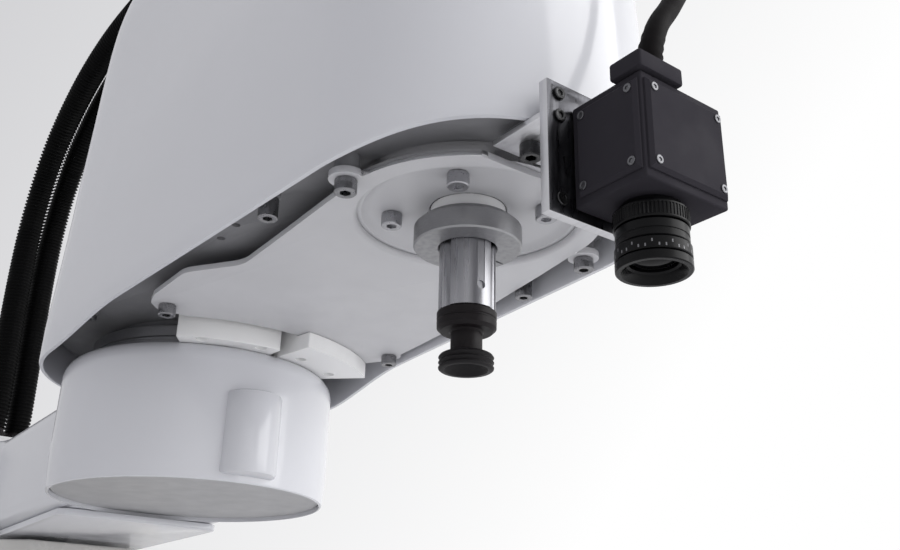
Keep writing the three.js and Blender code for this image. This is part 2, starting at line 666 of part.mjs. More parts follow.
function shaftCollar() {
  const z = TOOL_Z;
  const body = turned([[SHAFT_R + GAP, z], [COLLAR_R, z], [COLLAR_R, z + 9.5],
    [COLLAR_R - 2.7, z + 12.2], [SHAFT_R + GAP, z + 12.2], [SHAFT_R + GAP, z]], 0, 0, 32);
  const slot = block(SHAFT_R - 2, COLLAR_R + 1, -0.5, 0.5, z - 1, z + 13).rotateZ(COLLAR_SLOT);
  const hole = rod([SHAFT_R + 4, 0, z + 6], [COLLAR_R + 1, 0, z + 6], 2.2).rotateZ(SET_SCREW);
  return cut(body, slot, hole).translate(SHAFT_X, 0, 0);
}

add("spline_shaft", ring(SHAFT_BORE, SHAFT_R, SHAFT_END, SHAFT_TOP, SHAFT_X, 0), steel);
add("shaft_collar", shaftCollar(), greySteel);
const NECK_Z = TOOL_Z - 49;
const SPIGOT_TOP = SHAFT_END + 14;
add(
  "suction_holder",
  turned([[3, NECK_Z], [6.85, NECK_Z], [6.85, NECK_Z + 10], [11.6, NECK_Z + 10],
    [13, NECK_Z + 11.4], [13, SHAFT_END - GAP], [SHAFT_BORE - GAP, SHAFT_END - GAP],
    [SHAFT_BORE - GAP, SPIGOT_TOP], [3, SPIGOT_TOP], [3, NECK_Z]], SHAFT_X, 0),
  motorBlack,
);
const CUP_TOP = NECK_Z - GAP;
const CUP_LIP = TOOL_Z - 56;
add(
  "suction_cup",
  turned([[3, CUP_TOP], [3, CUP_LIP + 5], [6, CUP_LIP + 4.5], [9.4, CUP_LIP], [11.5, CUP_LIP],
    [11.9, CUP_LIP + 1], [11.1, CUP_LIP + 2.1], [11.9, CUP_LIP + 3.2], [11.1, CUP_LIP + 4.3],
    [11.9, CUP_LIP + 5.4], [10.6, CUP_TOP], [3, CUP_TOP]], SHAFT_X, 0),
  rubberBlack,
);

// ----------------------------------------------------------- vision camera
const PLATE_X = SHAFT_X + 84;
const PLATE_THICK = 4.2;
const CAMERA = { x0: PLATE_X + PLATE_THICK + GAP, x1: SHAFT_X + 124.5, y0: -22.3, y1: 24.5, z0: -21, z1: 20.8 };
const LENS = [SHAFT_X + 106.5, -1];
const LENS_Z = TOOL_Z + 1;
const CONNECTOR_TOP = TOOL_Z + 28;

function bracketFacePlate() {
  const plate = block(PLATE_X, PLATE_X + PLATE_THICK, -32.5, 32.5, TOOL_Z - 24.6, TOOL_Z + 30.2);
  const holes = [25.5, 15.9, -18.4].map((z) =>
    rod([PLATE_X - 1, -26.5, TOOL_Z + z], [PLATE_X + 6, -26.5, TOOL_Z + z], 1.8),
  );
  return cut(plate, ...holes);
}

function lensBarrel() {
  const at = (z) => LENS_Z + z;
  return turned([[0, at(-41)], [9, at(-41)], [9, at(-47)], [13.5, at(-47)], [13.5, at(-43.5)],
    [11, at(-43.5)], [11, at(-38.2)], [13, at(-38.2)], [13, at(-31.6)], [11, at(-31.6)],
    [11, TOOL_Z + CAMERA.z0 - GAP], [0, TOOL_Z + CAMERA.z0 - GAP]], ...LENS);
}

add("bracket_base_plate", bracketBasePlate(), aluminium);
add("bracket_face_plate", bracketFacePlate(), aluminium);
add(
  "camera_body",
  block(CAMERA.x0, CAMERA.x1, CAMERA.y0, CAMERA.y1, TOOL_Z + CAMERA.z0, TOOL_Z + CAMERA.z1),
  cameraBlack,
);
add(
  "camera_connector",
  block(SHAFT_X + 109.6, CAMERA.x1, CAMERA.y0, 0.5, TOOL_Z + CAMERA.z1 + GAP, CONNECTOR_TOP),
  cameraBlack,
);
add("lens_barrel", lensBarrel(), cameraBlack);
add("lens_focus_ring", ring(11.3, 13.5, LENS_Z - 31.2, LENS_Z - 25, ...LENS), cameraBlack);
add("lens_iris_ring", ring(11.3, 13.5, LENS_Z - 43.1, LENS_Z - 38.6, ...LENS), cameraBlack);
add(
  "lens_glass",
  turned([[0, LENS_Z - 43.8], [4.5, LENS_Z - 43.5], [8.7, LENS_Z - 42.6], [8.7, LENS_Z - 41.3],
    [0, LENS_Z - 41.3]], ...LENS),
  glassBlue,
);

// The bracket's foot under the casting's nose; it butts against the face plate.
function bracketBasePlate() {
  return block(SHAFT_X + 55, PLATE_X - GAP, -31, 31, PLATE_TOP + GAP, BRACKET_TOP);
}

// The camera's cable, from its connector up to the gland on the cover's roof.
const CABLE_ROUTE = [
  [717, -8, CONNECTOR_TOP + GAP], [717, -8, 374], [717, -3, 389], [714.5, 9, 406],
  [712, 24, 431], [708, 38, 466], [704, 43, 506], [698, 42, 550], [688, 37, 594],
  [669, 28, 637], [641, 17, 672], [610, 7, 691], [582, 1, 688], [565, 0, 668],
  [...CABLE_GLAND, COVER_TOP + 12 + 2 * GAP],
];

function cableGland() {
  const [x, y] = CABLE_GLAND;
  const z = COVER_TOP + GAP;
  const nut = rodZ(x, y, z, z + 5, 8, 6);
  const sleeve = turned([[0, z + 4], [7, z + 4], [7, z + 9], [5.5, z + 12], [0, z + 12]], x, y, 16);
  return cut(join(nut, sleeve), rodZ(x, y, z - 1, z + 13, 4));
}
add("cable_gland", cableGland(), motorBlack);
add("camera_cable", cord(CABLE_ROUTE, CABLE_R, 8, 34), rubberBlack);

export default robot;
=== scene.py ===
"""A four-axis SCARA robot arm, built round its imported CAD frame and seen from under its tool."""
import json
import math

import bmesh
import bpy
import numpy as np
from mathutils import Matrix, Vector


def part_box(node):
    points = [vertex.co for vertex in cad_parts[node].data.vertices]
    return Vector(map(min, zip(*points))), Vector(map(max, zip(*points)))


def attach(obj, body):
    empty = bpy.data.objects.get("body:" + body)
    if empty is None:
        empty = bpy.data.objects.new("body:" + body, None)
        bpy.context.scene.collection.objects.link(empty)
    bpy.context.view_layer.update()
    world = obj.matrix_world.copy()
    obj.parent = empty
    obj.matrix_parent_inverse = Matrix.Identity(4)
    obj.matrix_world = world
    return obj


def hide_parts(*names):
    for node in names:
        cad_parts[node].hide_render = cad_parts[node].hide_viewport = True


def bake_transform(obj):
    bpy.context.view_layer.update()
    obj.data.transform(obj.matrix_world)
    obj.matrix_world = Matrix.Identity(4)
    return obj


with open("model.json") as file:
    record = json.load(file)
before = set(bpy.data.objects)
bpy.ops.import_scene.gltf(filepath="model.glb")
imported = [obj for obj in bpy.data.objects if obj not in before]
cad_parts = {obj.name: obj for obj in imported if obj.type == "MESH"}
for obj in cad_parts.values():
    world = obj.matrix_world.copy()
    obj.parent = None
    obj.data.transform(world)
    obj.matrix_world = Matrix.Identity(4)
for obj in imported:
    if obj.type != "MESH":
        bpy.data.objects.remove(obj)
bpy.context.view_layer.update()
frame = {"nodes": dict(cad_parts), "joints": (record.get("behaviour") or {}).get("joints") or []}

MM = 0.001
nodes = frame["nodes"]
joints = {j["name"]: j for j in frame["joints"]}


def millimetres(point):
    return [1000 * value for value in point]


def low(node, axis):
    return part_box(node)[0][axis] / MM


def high(node, axis):
    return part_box(node)[1][axis] / MM


# Places in millimetres, all from the frame
J2_X = millimetres(joints["j2_elbow"]["pos_m"])[0]
SHAFT_X = millimetres(joints["j4_tool_rotation"]["pos_m"])[0]
REACH = SHAFT_X - J2_X
TOOL_Z = low("shaft_collar", 2)
ARM_BOTTOM = low("inner_arm_casting", 2)
ELBOW_TOP = high("inner_arm_casting", 2)
ARM_TOP = ELBOW_TOP - 3
PLATE_Z = low("bottom_plate", 2)
PLATE_TOP = high("bottom_plate", 2)
FRAME_Z = TOOL_Z + 24
COVER_TOP = high("outer_arm_cover", 2)
BRACKET_TOP = high("bracket_base_plate", 2)
BASE_TOP = high("base_housing", 2)
LENS_Z = TOOL_Z + 1
LENS_X, LENS_Y = millimetres(joints["lens_focus"]["pos_m"])[:2]


# ------------------------------------------------------------------ camera
PITCH = math.radians(22.638)
ROLL = math.radians(1.172)
HEADING = Vector((-0.8015, 0.5980, 0))


def make_camera():
    forward = HEADING.normalized() * math.cos(PITCH) + Vector((0, 0, math.sin(PITCH)))
    right = forward.cross(Vector((0, 0, 1))).normalized()
    up = right.cross(forward)
    across = right * math.cos(ROLL) + up * math.sin(ROLL)
    upright = up * math.cos(ROLL) - right * math.sin(ROLL)
    data = bpy.data.cameras.new("camera")
    data.sensor_width = 36
    data.lens = 38.985
    data.clip_start = 0.01
    camera = bpy.data.objects.new("camera", data)
    axes = Matrix((across, upright, -forward)).transposed().to_4x4()
    camera.matrix_world = Matrix.Translation((0.9122, -0.2424, 0.1627)) @ axes
    bpy.context.scene.collection.objects.link(camera)
    bpy.context.scene.camera = camera
    return forward, across, upright


forward, across, upright = make_camera()


# --------------------------------------------------------------- materials
class Shader:
    """A node material that is built up on one Principled shader."""

    def __init__(self, name, color, roughness, metallic=0.0):
        self.material = bpy.data.materials.new(name)
        self.material.use_nodes = True
        self.tree = self.material.node_tree
        self.shader = self.tree.nodes["Principled BSDF"]
        self.color = (*color, 1)
        self.shader.inputs["Base Color"].default_value = self.color
        self.shader.inputs["Roughness"].default_value = roughness
        self.shader.inputs["Metallic"].default_value = metallic
        self.place = self.tree.nodes.new("ShaderNodeTexCoord").outputs["Object"]

    def set(self, **values):
        for name, value in values.items():
            self.shader.inputs[name.replace("_", " ")].default_value = value
        return self

    def link(self, start, end):
        self.tree.links.new(start, end)

    def noise(self, scale, detail=3.0, stretch=(1, 1, 1)):
        mapping = self.tree.nodes.new("ShaderNodeMapping")
        mapping.inputs["Scale"].default_value = stretch
        noise = self.tree.nodes.new("ShaderNodeTexNoise")
        noise.inputs["Scale"].default_value = scale
        noise.inputs["Detail"].default_value = detail
        self.link(self.place, mapping.inputs["Vector"])
        self.link(mapping.outputs["Vector"], noise.inputs["Vector"])
        return noise.outputs["Fac"]

    def vary_color(self, factor, darker, amount=1.0):
        ramp = self.tree.nodes.new("ShaderNodeMix")
        ramp.data_type = "RGBA"
        ramp.inputs["A"].default_value = self.color
        ramp.inputs["B"].default_value = (*(c * darker for c in self.color[:3]), 1)
        spread = self.spread(factor, 0.4, 0.75, 0, amount)
        self.link(spread, ramp.inputs["Factor"])
        self.link(ramp.outputs["Result"], self.shader.inputs["Base Color"])
        return self

    def spread(self, factor, from_low, from_high, to_low, to_high):
        spread = self.tree.nodes.new("ShaderNodeMapRange")
        for name, value in zip(
            ("From Min", "From Max", "To Min", "To Max"), (from_low, from_high, to_low, to_high)
        ):
            spread.inputs[name].default_value = value
        self.link(factor, spread.inputs["Value"])
        return spread.outputs["Result"]

    def vary_roughness(self, factor, rough_low, rough_high):
        self.link(
            self.spread(factor, 0.35, 0.7, rough_low, rough_high), self.shader.inputs["Roughness"]
        )
        return self

    def bump(self, height, strength, distance=0.0002):
        bump = self.tree.nodes.new("ShaderNodeBump")
        bump.inputs["Strength"].default_value = strength
        bump.inputs["Distance"].default_value = distance
        self.link(height, bump.inputs["Height"])
        self.link(bump.outputs["Normal"], self.shader.inputs["Normal"])
        return self


def enamel(name, color, roughness, peel=0.05):
    """Sprayed enamel: orange peel under a clear gloss, a little colour drift, faint smudges."""
    paint = Shader(name, color, roughness)
    paint.set(Coat_Weight=0.2, Coat_Roughness=0.08, Specular_IOR_Level=0.5)
    paint.vary_color(paint.noise(9, 2), 0.97)
    paint.vary_roughness(paint.noise(40, 4), roughness * 0.85, roughness * 1.25)
    paint.bump(paint.noise(900, 2), peel, 0.0001)
    return paint.material


def satin(name, color, roughness, grain=0.12, scale=2600, shine=0.5):
    """Powder coat or moulded plastic: a fine pebbled grain and patchy sheen."""
    coat = Shader(name, color, roughness)
    coat.set(Specular_IOR_Level=shine)
    coat.vary_color(coat.noise(14, 3), 0.94)
    coat.vary_roughness(coat.noise(60, 4), roughness * 0.85, min(1, roughness * 1.2))
    coat.bump(coat.noise(scale, 3), grain, 0.00012)
    return coat.material


def metal(name, color, roughness, stretch=(1, 1, 1), scale=300, grain=0.08, drift=0.85):
    """Bare metal with machining marks along the stretched axis."""
    bare = Shader(name, color, roughness, 1.0)
    marks = bare.noise(scale, 5, stretch)
    bare.vary_color(marks, drift)
    bare.vary_roughness(marks, roughness * 0.75, roughness * 1.3)
    bare.bump(marks, grain, 0.00005)
    return bare.material


arm_paint = enamel("arm_enamel", (0.62, 0.625, 0.66), 0.17)
base_paint = enamel("base_enamel", (0.56, 0.55, 0.53), 0.3, 0.08)
plate_paint = satin("plate_paint", (0.55, 0.55, 0.57), 0.42, 0.06)
lid_paint = satin("lid_paint", (0.36, 0.36, 0.37), 0.42, 0.06)
# A mirror-bright metal, used only as a painted highlight on the edge walls of the plate and spline
# housing.
painted_highlight_metal = metal("painted_highlight_metal", (0.95, 0.95, 0.95), 0.16, (1, 1, 1), 300, 0.01, 0.99)
# A dark copy of the aluminium, used only on the bracket face beside the camera as painted reflection
# and painted shade.
shade_reflection_metal = metal("shade_reflection_aluminium", (0.10, 0.10, 0.11), 0.35, (1, 6, 1), 120, 0.03, 0.97)
white_plastic = satin("white_plastic", (0.86, 0.86, 0.86), 0.35, 0.03)
cast_metal = satin("cast_metal", (0.2, 0.2, 0.21), 0.5, 0.4, 1500)
aluminium = metal("satin_aluminium", (0.66, 0.66, 0.68), 0.42, (1, 6, 1), 120, 0.03, 0.97)
ground_steel = metal("ground_steel", (0.36, 0.36, 0.38), 0.3, (1, 1, 0.05), 300, 0.01, 0.95)
grey_steel = metal("grey_steel", (0.33, 0.33, 0.34), 0.42, (1, 1, 16), 400, 0.05, 0.96)
screw_steel = metal("screw_steel", (0.28, 0.28, 0.29), 0.33, (1, 1, 1), 700)
light_steel = metal("light_screw_steel", (0.42, 0.42, 0.44), 0.35, (1, 1, 1), 700, 0.05, 0.95)
black_screw = metal("black_oxide", (0.06, 0.06, 0.062), 0.35, (1, 1, 1), 700)
camera_screw = metal("camera_screw", (0.16, 0.16, 0.17), 0.35, (1, 1, 1), 700)
motor_paint = satin("motor_paint", (0.02, 0.02, 0.023), 0.4)
camera_paint = satin("camera_anodise", (0.03, 0.028, 0.034), 0.7, 0.06, 3800, 0.04)
lens_black = satin("lens_black", (0.003, 0.003, 0.0035), 0.3, 0.03, 3000, 0.15)
black_plastic = satin("black_plastic", (0.008, 0.006, 0.007), 0.5, 0.15, 2600, 0.2)
conduit_black = satin("conduit_black", (0.0018, 0.0018, 0.0019), 0.5, 0.1, 2600, 0.06)
cable_black = satin("cable_black", (0.006, 0.005, 0.0055), 0.6, 0.1, 2600, 0.05)
rubber = satin("cup_rubber", (0.007, 0.006, 0.007), 0.55, 0.15, 2600, 0.25)
silver_mark = satin("silver_mark", (0.16, 0.16, 0.17), 0.4)


def lens_coating():
    glass = Shader("lens_glass", (0.001, 0.001, 0.0015), 0.03)
    glass.set(Specular_IOR_Level=0.06)
    glass.vary_color(glass.noise(120, 1), 0.4)
    return glass.material


lens_glass = lens_coating()


# ------------------------------------------------------------------ shapes
def dress(obj, material, body, replaced=(), smooth=40):
    """Outward faces, smooth shading up to an angle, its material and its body."""
    tidy = bmesh.new()
    tidy.from_mesh(obj.data)
    bmesh.ops.recalc_face_normals(tidy, faces=tidy.faces)
    tidy.to_mesh(obj.data)
    tidy.free()
    obj.data.materials.clear()
    obj.data.materials.append(material)
    obj.data.shade_smooth()
    obj.data.set_sharp_from_angle(angle=math.radians(smooth))
    if replaced:
        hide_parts(*replaced)
    if body:
        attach(obj, body)
    return obj


def apply_modifiers(obj):
    obj.data = bpy.data.meshes.new_from_object(
        obj.evaluated_get(bpy.context.evaluated_depsgraph_get())
    )
    obj.modifiers.clear()


def soften(obj, width, segments=2, angle=32):
    """Rounds every edge sharper than the angle."""
    bevel = obj.modifiers.new("edges", "BEVEL")
    bevel.width = width * MM
    bevel.segments = segments
    bevel.limit_method = "ANGLE"
    bevel.angle_limit = math.radians(angle)
    bevel.harden_normals = False
    apply_modifiers(obj)
    return obj


def carve(obj, tools, operation="DIFFERENCE"):
    """Cuts the tools out of obj, or joins them to it, and throws the tools away."""
    for tool in tools:
        cutting = obj.modifiers.new("cut", "BOOLEAN")
        cutting.operation = operation
        cutting.solver = "EXACT"
        cutting.object = tool
        apply_modifiers(obj)
        bpy.data.objects.remove(tool)
    return obj


def raw(name, points, faces):
    """An unfinished mesh in millimetres, for cutting, joining or rounding first."""
    mesh = bpy.data.meshes.new(name)
    mesh.from_pydata([[c * MM for c in p] for p in points], [], faces)
    obj = bpy.data.objects.new(name, mesh)
    bpy.context.scene.collection.objects.link(obj)
    turn = bmesh.new()
    turn.from_mesh(mesh)
    bmesh.ops.recalc_face_normals(turn, faces=turn.faces)
    turn.to_mesh(mesh)
    turn.free()
    return obj


def rings_to_faces(rings, count, close=True, caps=True):
    faces = []
    for k in range(rings - 1 if not close else rings):
        here, there = k * count, ((k + 1) % rings) * count
        for i in range(count):
            j = (i + 1) % count
            faces.append((here + i, here + j, there + j, there + i))
    if caps and not close:
        faces.append(tuple(range(count))[::-1])
        faces.append(tuple(range((rings - 1) * count, rings * count)))
    return faces


def lathe(name, profile, x=0.0, y=0.0, sides=96):
    """A profile of (radius, height) turned about the vertical line at x, y.
    It closes on itself, or starts and ends on the axis."""
    on_axis = profile[0][0] == 0
    inner = profile[1:-1] if on_axis else profile
    points = []
    for r, z in inner:
        for i in range(sides):
            a = 2 * math.pi * i / sides
            points.append((x + r * math.cos(a), y + r * math.sin(a), z))
    faces = rings_to_faces(len(inner), sides, close=not on_axis, caps=False)
    if on_axis:
        first, last = len(points), len(points) + 1
        points += [(x, y, profile[0][1]), (x, y, profile[-1][1])]
        top = (len(inner) - 1) * sides
        for i in range(sides):
            j = (i + 1) % sides
            faces += [(first, j, i), (last, top + i, top + j)]
    return raw(name, points, faces)


def prism(name, outline, z0, z1):
    """A closed outline of (x, y) points pulled up from z0 to z1."""
    count = len(outline)
    points = [(x, y, z) for z in (z0, z1) for x, y in outline]
    return raw(name, points, rings_to_faces(2, count, close=False))


def box(name, x0, x1, y0, y1, z0, z1):
    return prism(name, [(x0, y0), (x1, y0), (x1, y1), (x0, y1)], z0, z1)


def arc(cx, cy, r, start, end, steps=24):
    angles = np.radians(np.linspace(start, end, steps + 1))
    return [(cx + r * math.cos(a), cy + r * math.sin(a)) for a in angles]


def rounded(corners, steps=6):
    """A closed outline from (x, y, fillet radius) corners."""
    outline = []
    count = len(corners)
    for i, (x, y, r) in enumerate(corners):
        here = np.array((x, y), float)
        before = np.array(corners[i - 1][:2], float) - here
        after = np.array(corners[(i + 1) % count][:2], float) - here
        if r == 0:
            outline.append((x, y))
            continue
        a, b = before / np.linalg.norm(before), after / np.linalg.norm(after)
        half = math.acos(np.clip(a @ b, -1, 1)) / 2
        if math.pi / 2 - half < 0.01:
            outline.append((x, y))
            continue
        back = min(r / math.tan(half), 0.48 * min(np.linalg.norm(before), np.linalg.norm(after)))
        r = back * math.tan(half)
        centre = here + (a + b) / np.linalg.norm(a + b) * r / math.sin(half)
        start, end = here + a * back - centre, here + b * back - centre
        turn = math.atan2(np.cross(start, end), start @ end)
        for k in range(steps + 1):
            c, s = math.cos(turn * k / steps), math.sin(turn * k / steps)
            point = centre + (c * start[0] - s * start[1], s * start[0] + c * start[1])
            outline.append(tuple(point))
    return outline


def disc(name, x, y, r, z0, z1, sides=32):
    return prism(name, arc(x, y, r, 0, 360 * (1 - 1 / sides), sides - 1), z0, z1)


def rod(name, start, end, r, sides=32):
    """A cylinder between two points."""
    start, end = Vector(start), Vector(end)
    turn = Vector((0, 0, 1)).rotation_difference(end - start).to_matrix()
    length = (end - start).length
    flat = arc(0, 0, r, 0, 360 * (1 - 1 / sides), sides - 1)
    points = [start + turn @ Vector((x, y, z)) for z in (0, length) for x, y in flat]
    return raw(name, points, rings_to_faces(2, sides, close=False))


def smooth_path(points, spacing):
    """A Catmull-Rom curve through given points, at even steps."""
    p = np.array(points, float)
    p = np.vstack([2 * p[0] - p[1], p, 2 * p[-1] - p[-2]])
    fine = []
    for i in range(1, len(p) - 2):
        knots = np.cumsum([0, *(np.linalg.norm(p[i + k] - p[i + k - 1]) ** 0.5 for k in (0, 1, 2))])
        for t in np.linspace(knots[1], knots[2], 40, endpoint=False):
            a = [lerp(p[i - 1 + k], p[i + k], knots[k], knots[k + 1], t) for k in range(3)]
            b = [lerp(a[k], a[k + 1], knots[k], knots[k + 2], t) for k in range(2)]
            fine.append(lerp(b[0], b[1], knots[1], knots[2], t))
    fine.append(p[-2])
    fine = np.array(fine)
    along = np.concatenate([[0], np.cumsum(np.linalg.norm(np.diff(fine, axis=0), axis=1))])
    steps = max(2, round(along[-1] / spacing))
    at = np.linspace(0, along[-1], steps + 1)
    return np.stack([np.interp(at, along, fine[:, k]) for k in range(3)], 1), along[-1]


def lerp(a, b, ta, tb, t):
    return (tb - t) / (tb - ta) * a + (t - ta) / (tb - ta) * b


def tube(name, path, radii, sides=20):
    """A tube along a path with one radius per point, its rings kept from twisting."""
    tangents = np.gradient(path, axis=0)
    tangents /= np.linalg.norm(tangents, axis=1)[:, None]
    side = np.cross(tangents[0], (0.0, 1.0, 0.3))
    points = []
    for at, tangent, r in zip(path, tangents, radii):
        side = side - tangent * (side @ tangent)
        side /= np.linalg.norm(side)
        other = np.cross(tangent, side)
        for i in range(sides):
            a = 2 * math.pi * i / sides
            points.append(tuple(at + r * (side * math.cos(a) + other * math.sin(a))))
    return raw(name, points, rings_to_faces(len(path), sides, close=False))


def joined(name, objects):
    """Several separate solids as one piece."""
    merged = bmesh.new()
    for obj in objects:
        merged.from_mesh(obj.data)
        bpy.data.objects.remove(obj)
    mesh = bpy.data.meshes.new(name)
    merged.to_mesh(mesh)
    merged.free()
    obj = bpy.data.objects.new(name, mesh)
    bpy.context.scene.collection.objects.link(obj)
    return obj


def keep_node(node, material, width=0.6):
    """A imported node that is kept: its material, and its edges rounded."""
    nodes[node].data.materials.clear()
    nodes[node].data.materials.append(material)
    bevel = nodes[node].modifiers.new("edges", "BEVEL")
    bevel.width = width * MM
    bevel.segments = 2
    bevel.limit_method = "ANGLE"
    bevel.angle_limit = math.radians(35)


# ------------------------------------------------------------------- cords
CONDUIT_R = 10
CONDUIT_PITCH = 3.4
CABLE_R = 4.25
BONNET_TOP = high("cable_bonnet", 2)
CONNECTOR_TOP = high("camera_connector", 2)
GLAND_LENGTH = 16
GAP = 0.3
CONDUIT_EXITS = [(-29, -52), (-43, -28)]
ROOF_GLANDS = [(300, -26), (300, -2)]
CABLE_GLAND = (565, 0)
CONDUIT_ARC = [
    (-40, 384, 0), (-43, 420, 0), (-49, 470, 0), (-52, 520, 0), (-49, 566, 0), (-36, 610, 0.02),
    (-9, 650, 0.06), (40, 690, 0.2), (92, 712, 0.36), (150, 722, 0.55), (208, 722, 0.75),
    (254, 712, 0.9), (284, 695, 0.97), (298, 678, 1), (300, 668, 1),
]
CABLE_ROUTE = [
    (717, -8, CONNECTOR_TOP + GAP), (717, -8, 374), (717, -3, 389), (714.5, 9, 406), (712, 24, 431),
    (708, 38, 466), (704, 43, 506), (698, 42, 550), (688, 37, 594), (669, 28, 637),
    (641, 17, 672), (610, 7, 691), (582, 1, 688), (565, 0, 668), (565, 0, COVER_TOP + 12.6),
]


def make_conduit(side, exit_at, gland_at):
    (x0, y0), (x1, y1) = exit_at, gland_at
    route = [(x0, y0, BONNET_TOP + GLAND_LENGTH + 2 * GAP)]
    shift = x0 - CONDUIT_ARC[0][0]
    route += [
        (x + shift * (1 - share), y0 + (y1 - y0) * share, z) for x, z, share in CONDUIT_ARC
    ]
    route.append((x1, y1, COVER_TOP + GLAND_LENGTH + 2 * GAP))
    path, length = smooth_path(route, CONDUIT_PITCH / 4)
    ribs = np.resize((CONDUIT_R + 1, CONDUIT_R + 1, CONDUIT_R - 0.4, CONDUIT_R - 0.4), len(path))
    conduit = tube("conduit_" + side, path, ribs, 28)
    dress(conduit, conduit_black, None, ["conduit_" + side], 60)
    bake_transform(conduit)
    return conduit


for number, side in enumerate(("outer", "inner")):
    make_conduit(side, CONDUIT_EXITS[number], ROOF_GLANDS[number])


def make_camera_cable():
    path, length = smooth_path(CABLE_ROUTE, 2.5)
    along = np.arange(len(path)) * 2.5
    radii = np.where(along < 22, CABLE_R + 0.9 - 0.04 * along, CABLE_R)
    radii = np.where((along < 22) & (np.arange(len(path)) % 2 == 1), CABLE_R, radii)
    cable = tube("camera_cable", path, radii, 24)
    dress(cable, cable_black, "outer_arm", ["camera_cable"], 60)


make_camera_cable()


# ------------------------------------------------------------------ screws
def socket_screw(
    name, at, axis, radius, height, material, body, slot=None, replaced=(), shank=3, floor=0.4
):
    """A socket head cap screw. Its head stands off the face at `at` along the axis, and its
    shank goes the other way."""
    axis = Vector(axis).normalized()
    chamfer = 0.1 * radius
    profile = [
        (0, -shank), (0.5 * radius, -shank), (0.5 * radius, 0), (radius - 0.3 * chamfer, 0),
        (radius, 0.5 * chamfer), (radius, height - chamfer), (radius - chamfer, height),
        (0.62 * radius, height), (0.53 * radius, height - 0.5 * chamfer),
    ]
    bottom = floor * height
    screw = lathe(name, [*profile, (0.53 * radius, bottom), (0, bottom)], sides=36)
    flatten_socket(screw, 0.53 * radius, bottom)
    turn = Vector((0, 0, 1)).rotation_difference(axis).to_matrix().to_4x4()
    screw.data.transform(Matrix.Translation(Vector(at) * MM) @ turn)
    return dress(screw, material, body, replaced, 35)


def flatten_socket(screw, radius, floor):
    """Draws the round socket in to a hexagon."""
    for vertex in screw.data.vertices:
        x, y, z = (c / MM for c in vertex.co)
        r = math.hypot(x, y)
        if z > floor * 0.8 and 0.1 < r < radius * 1.05:
            a = math.degrees(math.atan2(y, x)) % 60 - 30
            flat = radius * math.cos(math.radians(30)) / math.cos(math.radians(a))
            vertex.co.x *= flat / r
            vertex.co.y *= flat / r


def screw_row(prefix, places, axis, radius, height, material, body, **more):
    for number, at in enumerate(places, start=1):
        socket_screw(f"{prefix}_{number}", at, axis, radius, height, material, body, **more)


DOWN = (0, 0, -1)
UP = (0, 0, 1)


# --------------------------------------------------------- outer arm cover
COVER_STATIONS = [
    # height above the tool, tail radius, nose radius
    (24, 100.6, 82), (60, 98.6, 82), (95, 96.9, 81), (130, 95.6, 79), (170, 93.8, 73),
    (205, 92.4, 65.5), (240, 90.3, 55), (262, 87.5, 46.5), (281, 82.5, 38.5), (293, 72, 29),
    (300, 54, 16),
]
WALL = 3
RIM_LOW = TOOL_Z + 1.5
# where the lower edge starts rising, where it is level again, and by how much it rises
RIM_STEPS = [(J2_X - 5, J2_X + 95, 9.5), (J2_X + 297, J2_X + 362, 8.4)]


def rim_z(x):
    z = RIM_LOW
    for start, end, height in RIM_STEPS:
        share = min(1, max(0, (x - start) / (end - start)))
        z += height * share * share * (3 - 2 * share)
    return z


def cover_ring(station, inset, height_of, steps=56):
    height, tail, nose = station
    lean = math.asin((tail - nose) / REACH)
    front = np.linspace(lean - math.pi / 2, math.pi / 2 - lean, steps)
    back = np.linspace(math.pi / 2 - lean, 1.5 * math.pi + lean, steps)
    sides = np.linspace(0, 1, 26)[1:-1]
    points = [(SHAFT_X + (nose - inset) * math.cos(a), (nose - inset) * math.sin(a)) for a in front]
    rear = [(J2_X + (tail - inset) * math.cos(a), (tail - inset) * math.sin(a)) for a in back]
    left = [tuple(np.array(points[-1]) * (1 - s) + np.array(rear[0]) * s) for s in sides]
    right = [tuple(np.array(rear[-1]) * (1 - s) + np.array(points[0]) * s) for s in sides]
    return [(x, y, height_of(x)) for x, y in points + left + rear + right]


def make_cover():
    stations, _ = smooth_path(COVER_STATIONS, 3)
    first = stations[0]
    rings = []
    for inset, lift in ((WALL, 1.0), (WALL - 0.5, 0), (0.5, 0), (0, 1.0)):
        rings.append(cover_ring(first, inset, lambda x, lift=lift: rim_z(x) + lift))
    rings += [cover_ring(s, 0, lambda x, s=s: TOOL_Z + s[0]) for s in stations]
    outside_top = len(rings) - 1
    inside = [cover_ring(s, WALL, lambda x, s=s: TOOL_Z + s[0] - WALL) for s in stations[::-1]]
    rings += inside
    count = len(rings[0])
    faces = rings_to_faces(len(rings), count, close=True)
    gap_start = outside_top * count
    faces = [f for f in faces if not (f[0] // count == outside_top and f[2] // count != outside_top)]
    faces.append(tuple(range(gap_start, gap_start + count)))
    faces.append(tuple(range(gap_start + count, gap_start + 2 * count))[::-1])
    cover = raw("outer_arm_cover", [p for ring in rings for p in ring], faces)
    holes = [disc("hole", x, y, 7, COVER_TOP - 8, COVER_TOP + 1) for x, y in ROOF_GLANDS]
    holes.append(disc("hole", *CABLE_GLAND, 4, COVER_TOP - 10, COVER_TOP + 1))
    carve(cover, holes)
    dress(cover, arm_paint, "outer_arm", ["outer_arm_cover"], 30)


make_cover()


# ------------------------------------------------- outer arm from underneath
PLATE_SCREWS = {
    "near": (J2_X + 96, -64), "nose": (SHAFT_X, -64),
    "far": (SHAFT_X + 4, 68), "elbow": (J2_X + 100, 81.5),
}
NOSE_POSTS = [(J2_X + 237, -75), (J2_X + 237, 75)]
TAIL_POSTS = [(J2_X + 31, -87), (J2_X + 31, 87)]
RECESS_R = 50
HOUSING_R = 54
LUG_R = 7.5
SEAL_R = 17
FLANGE_SCREWS = [
    (SHAFT_X + 35 * math.cos(math.radians(a)), 35 * math.sin(math.radians(a)))
    for a in (45, 135, 225, 315)
]


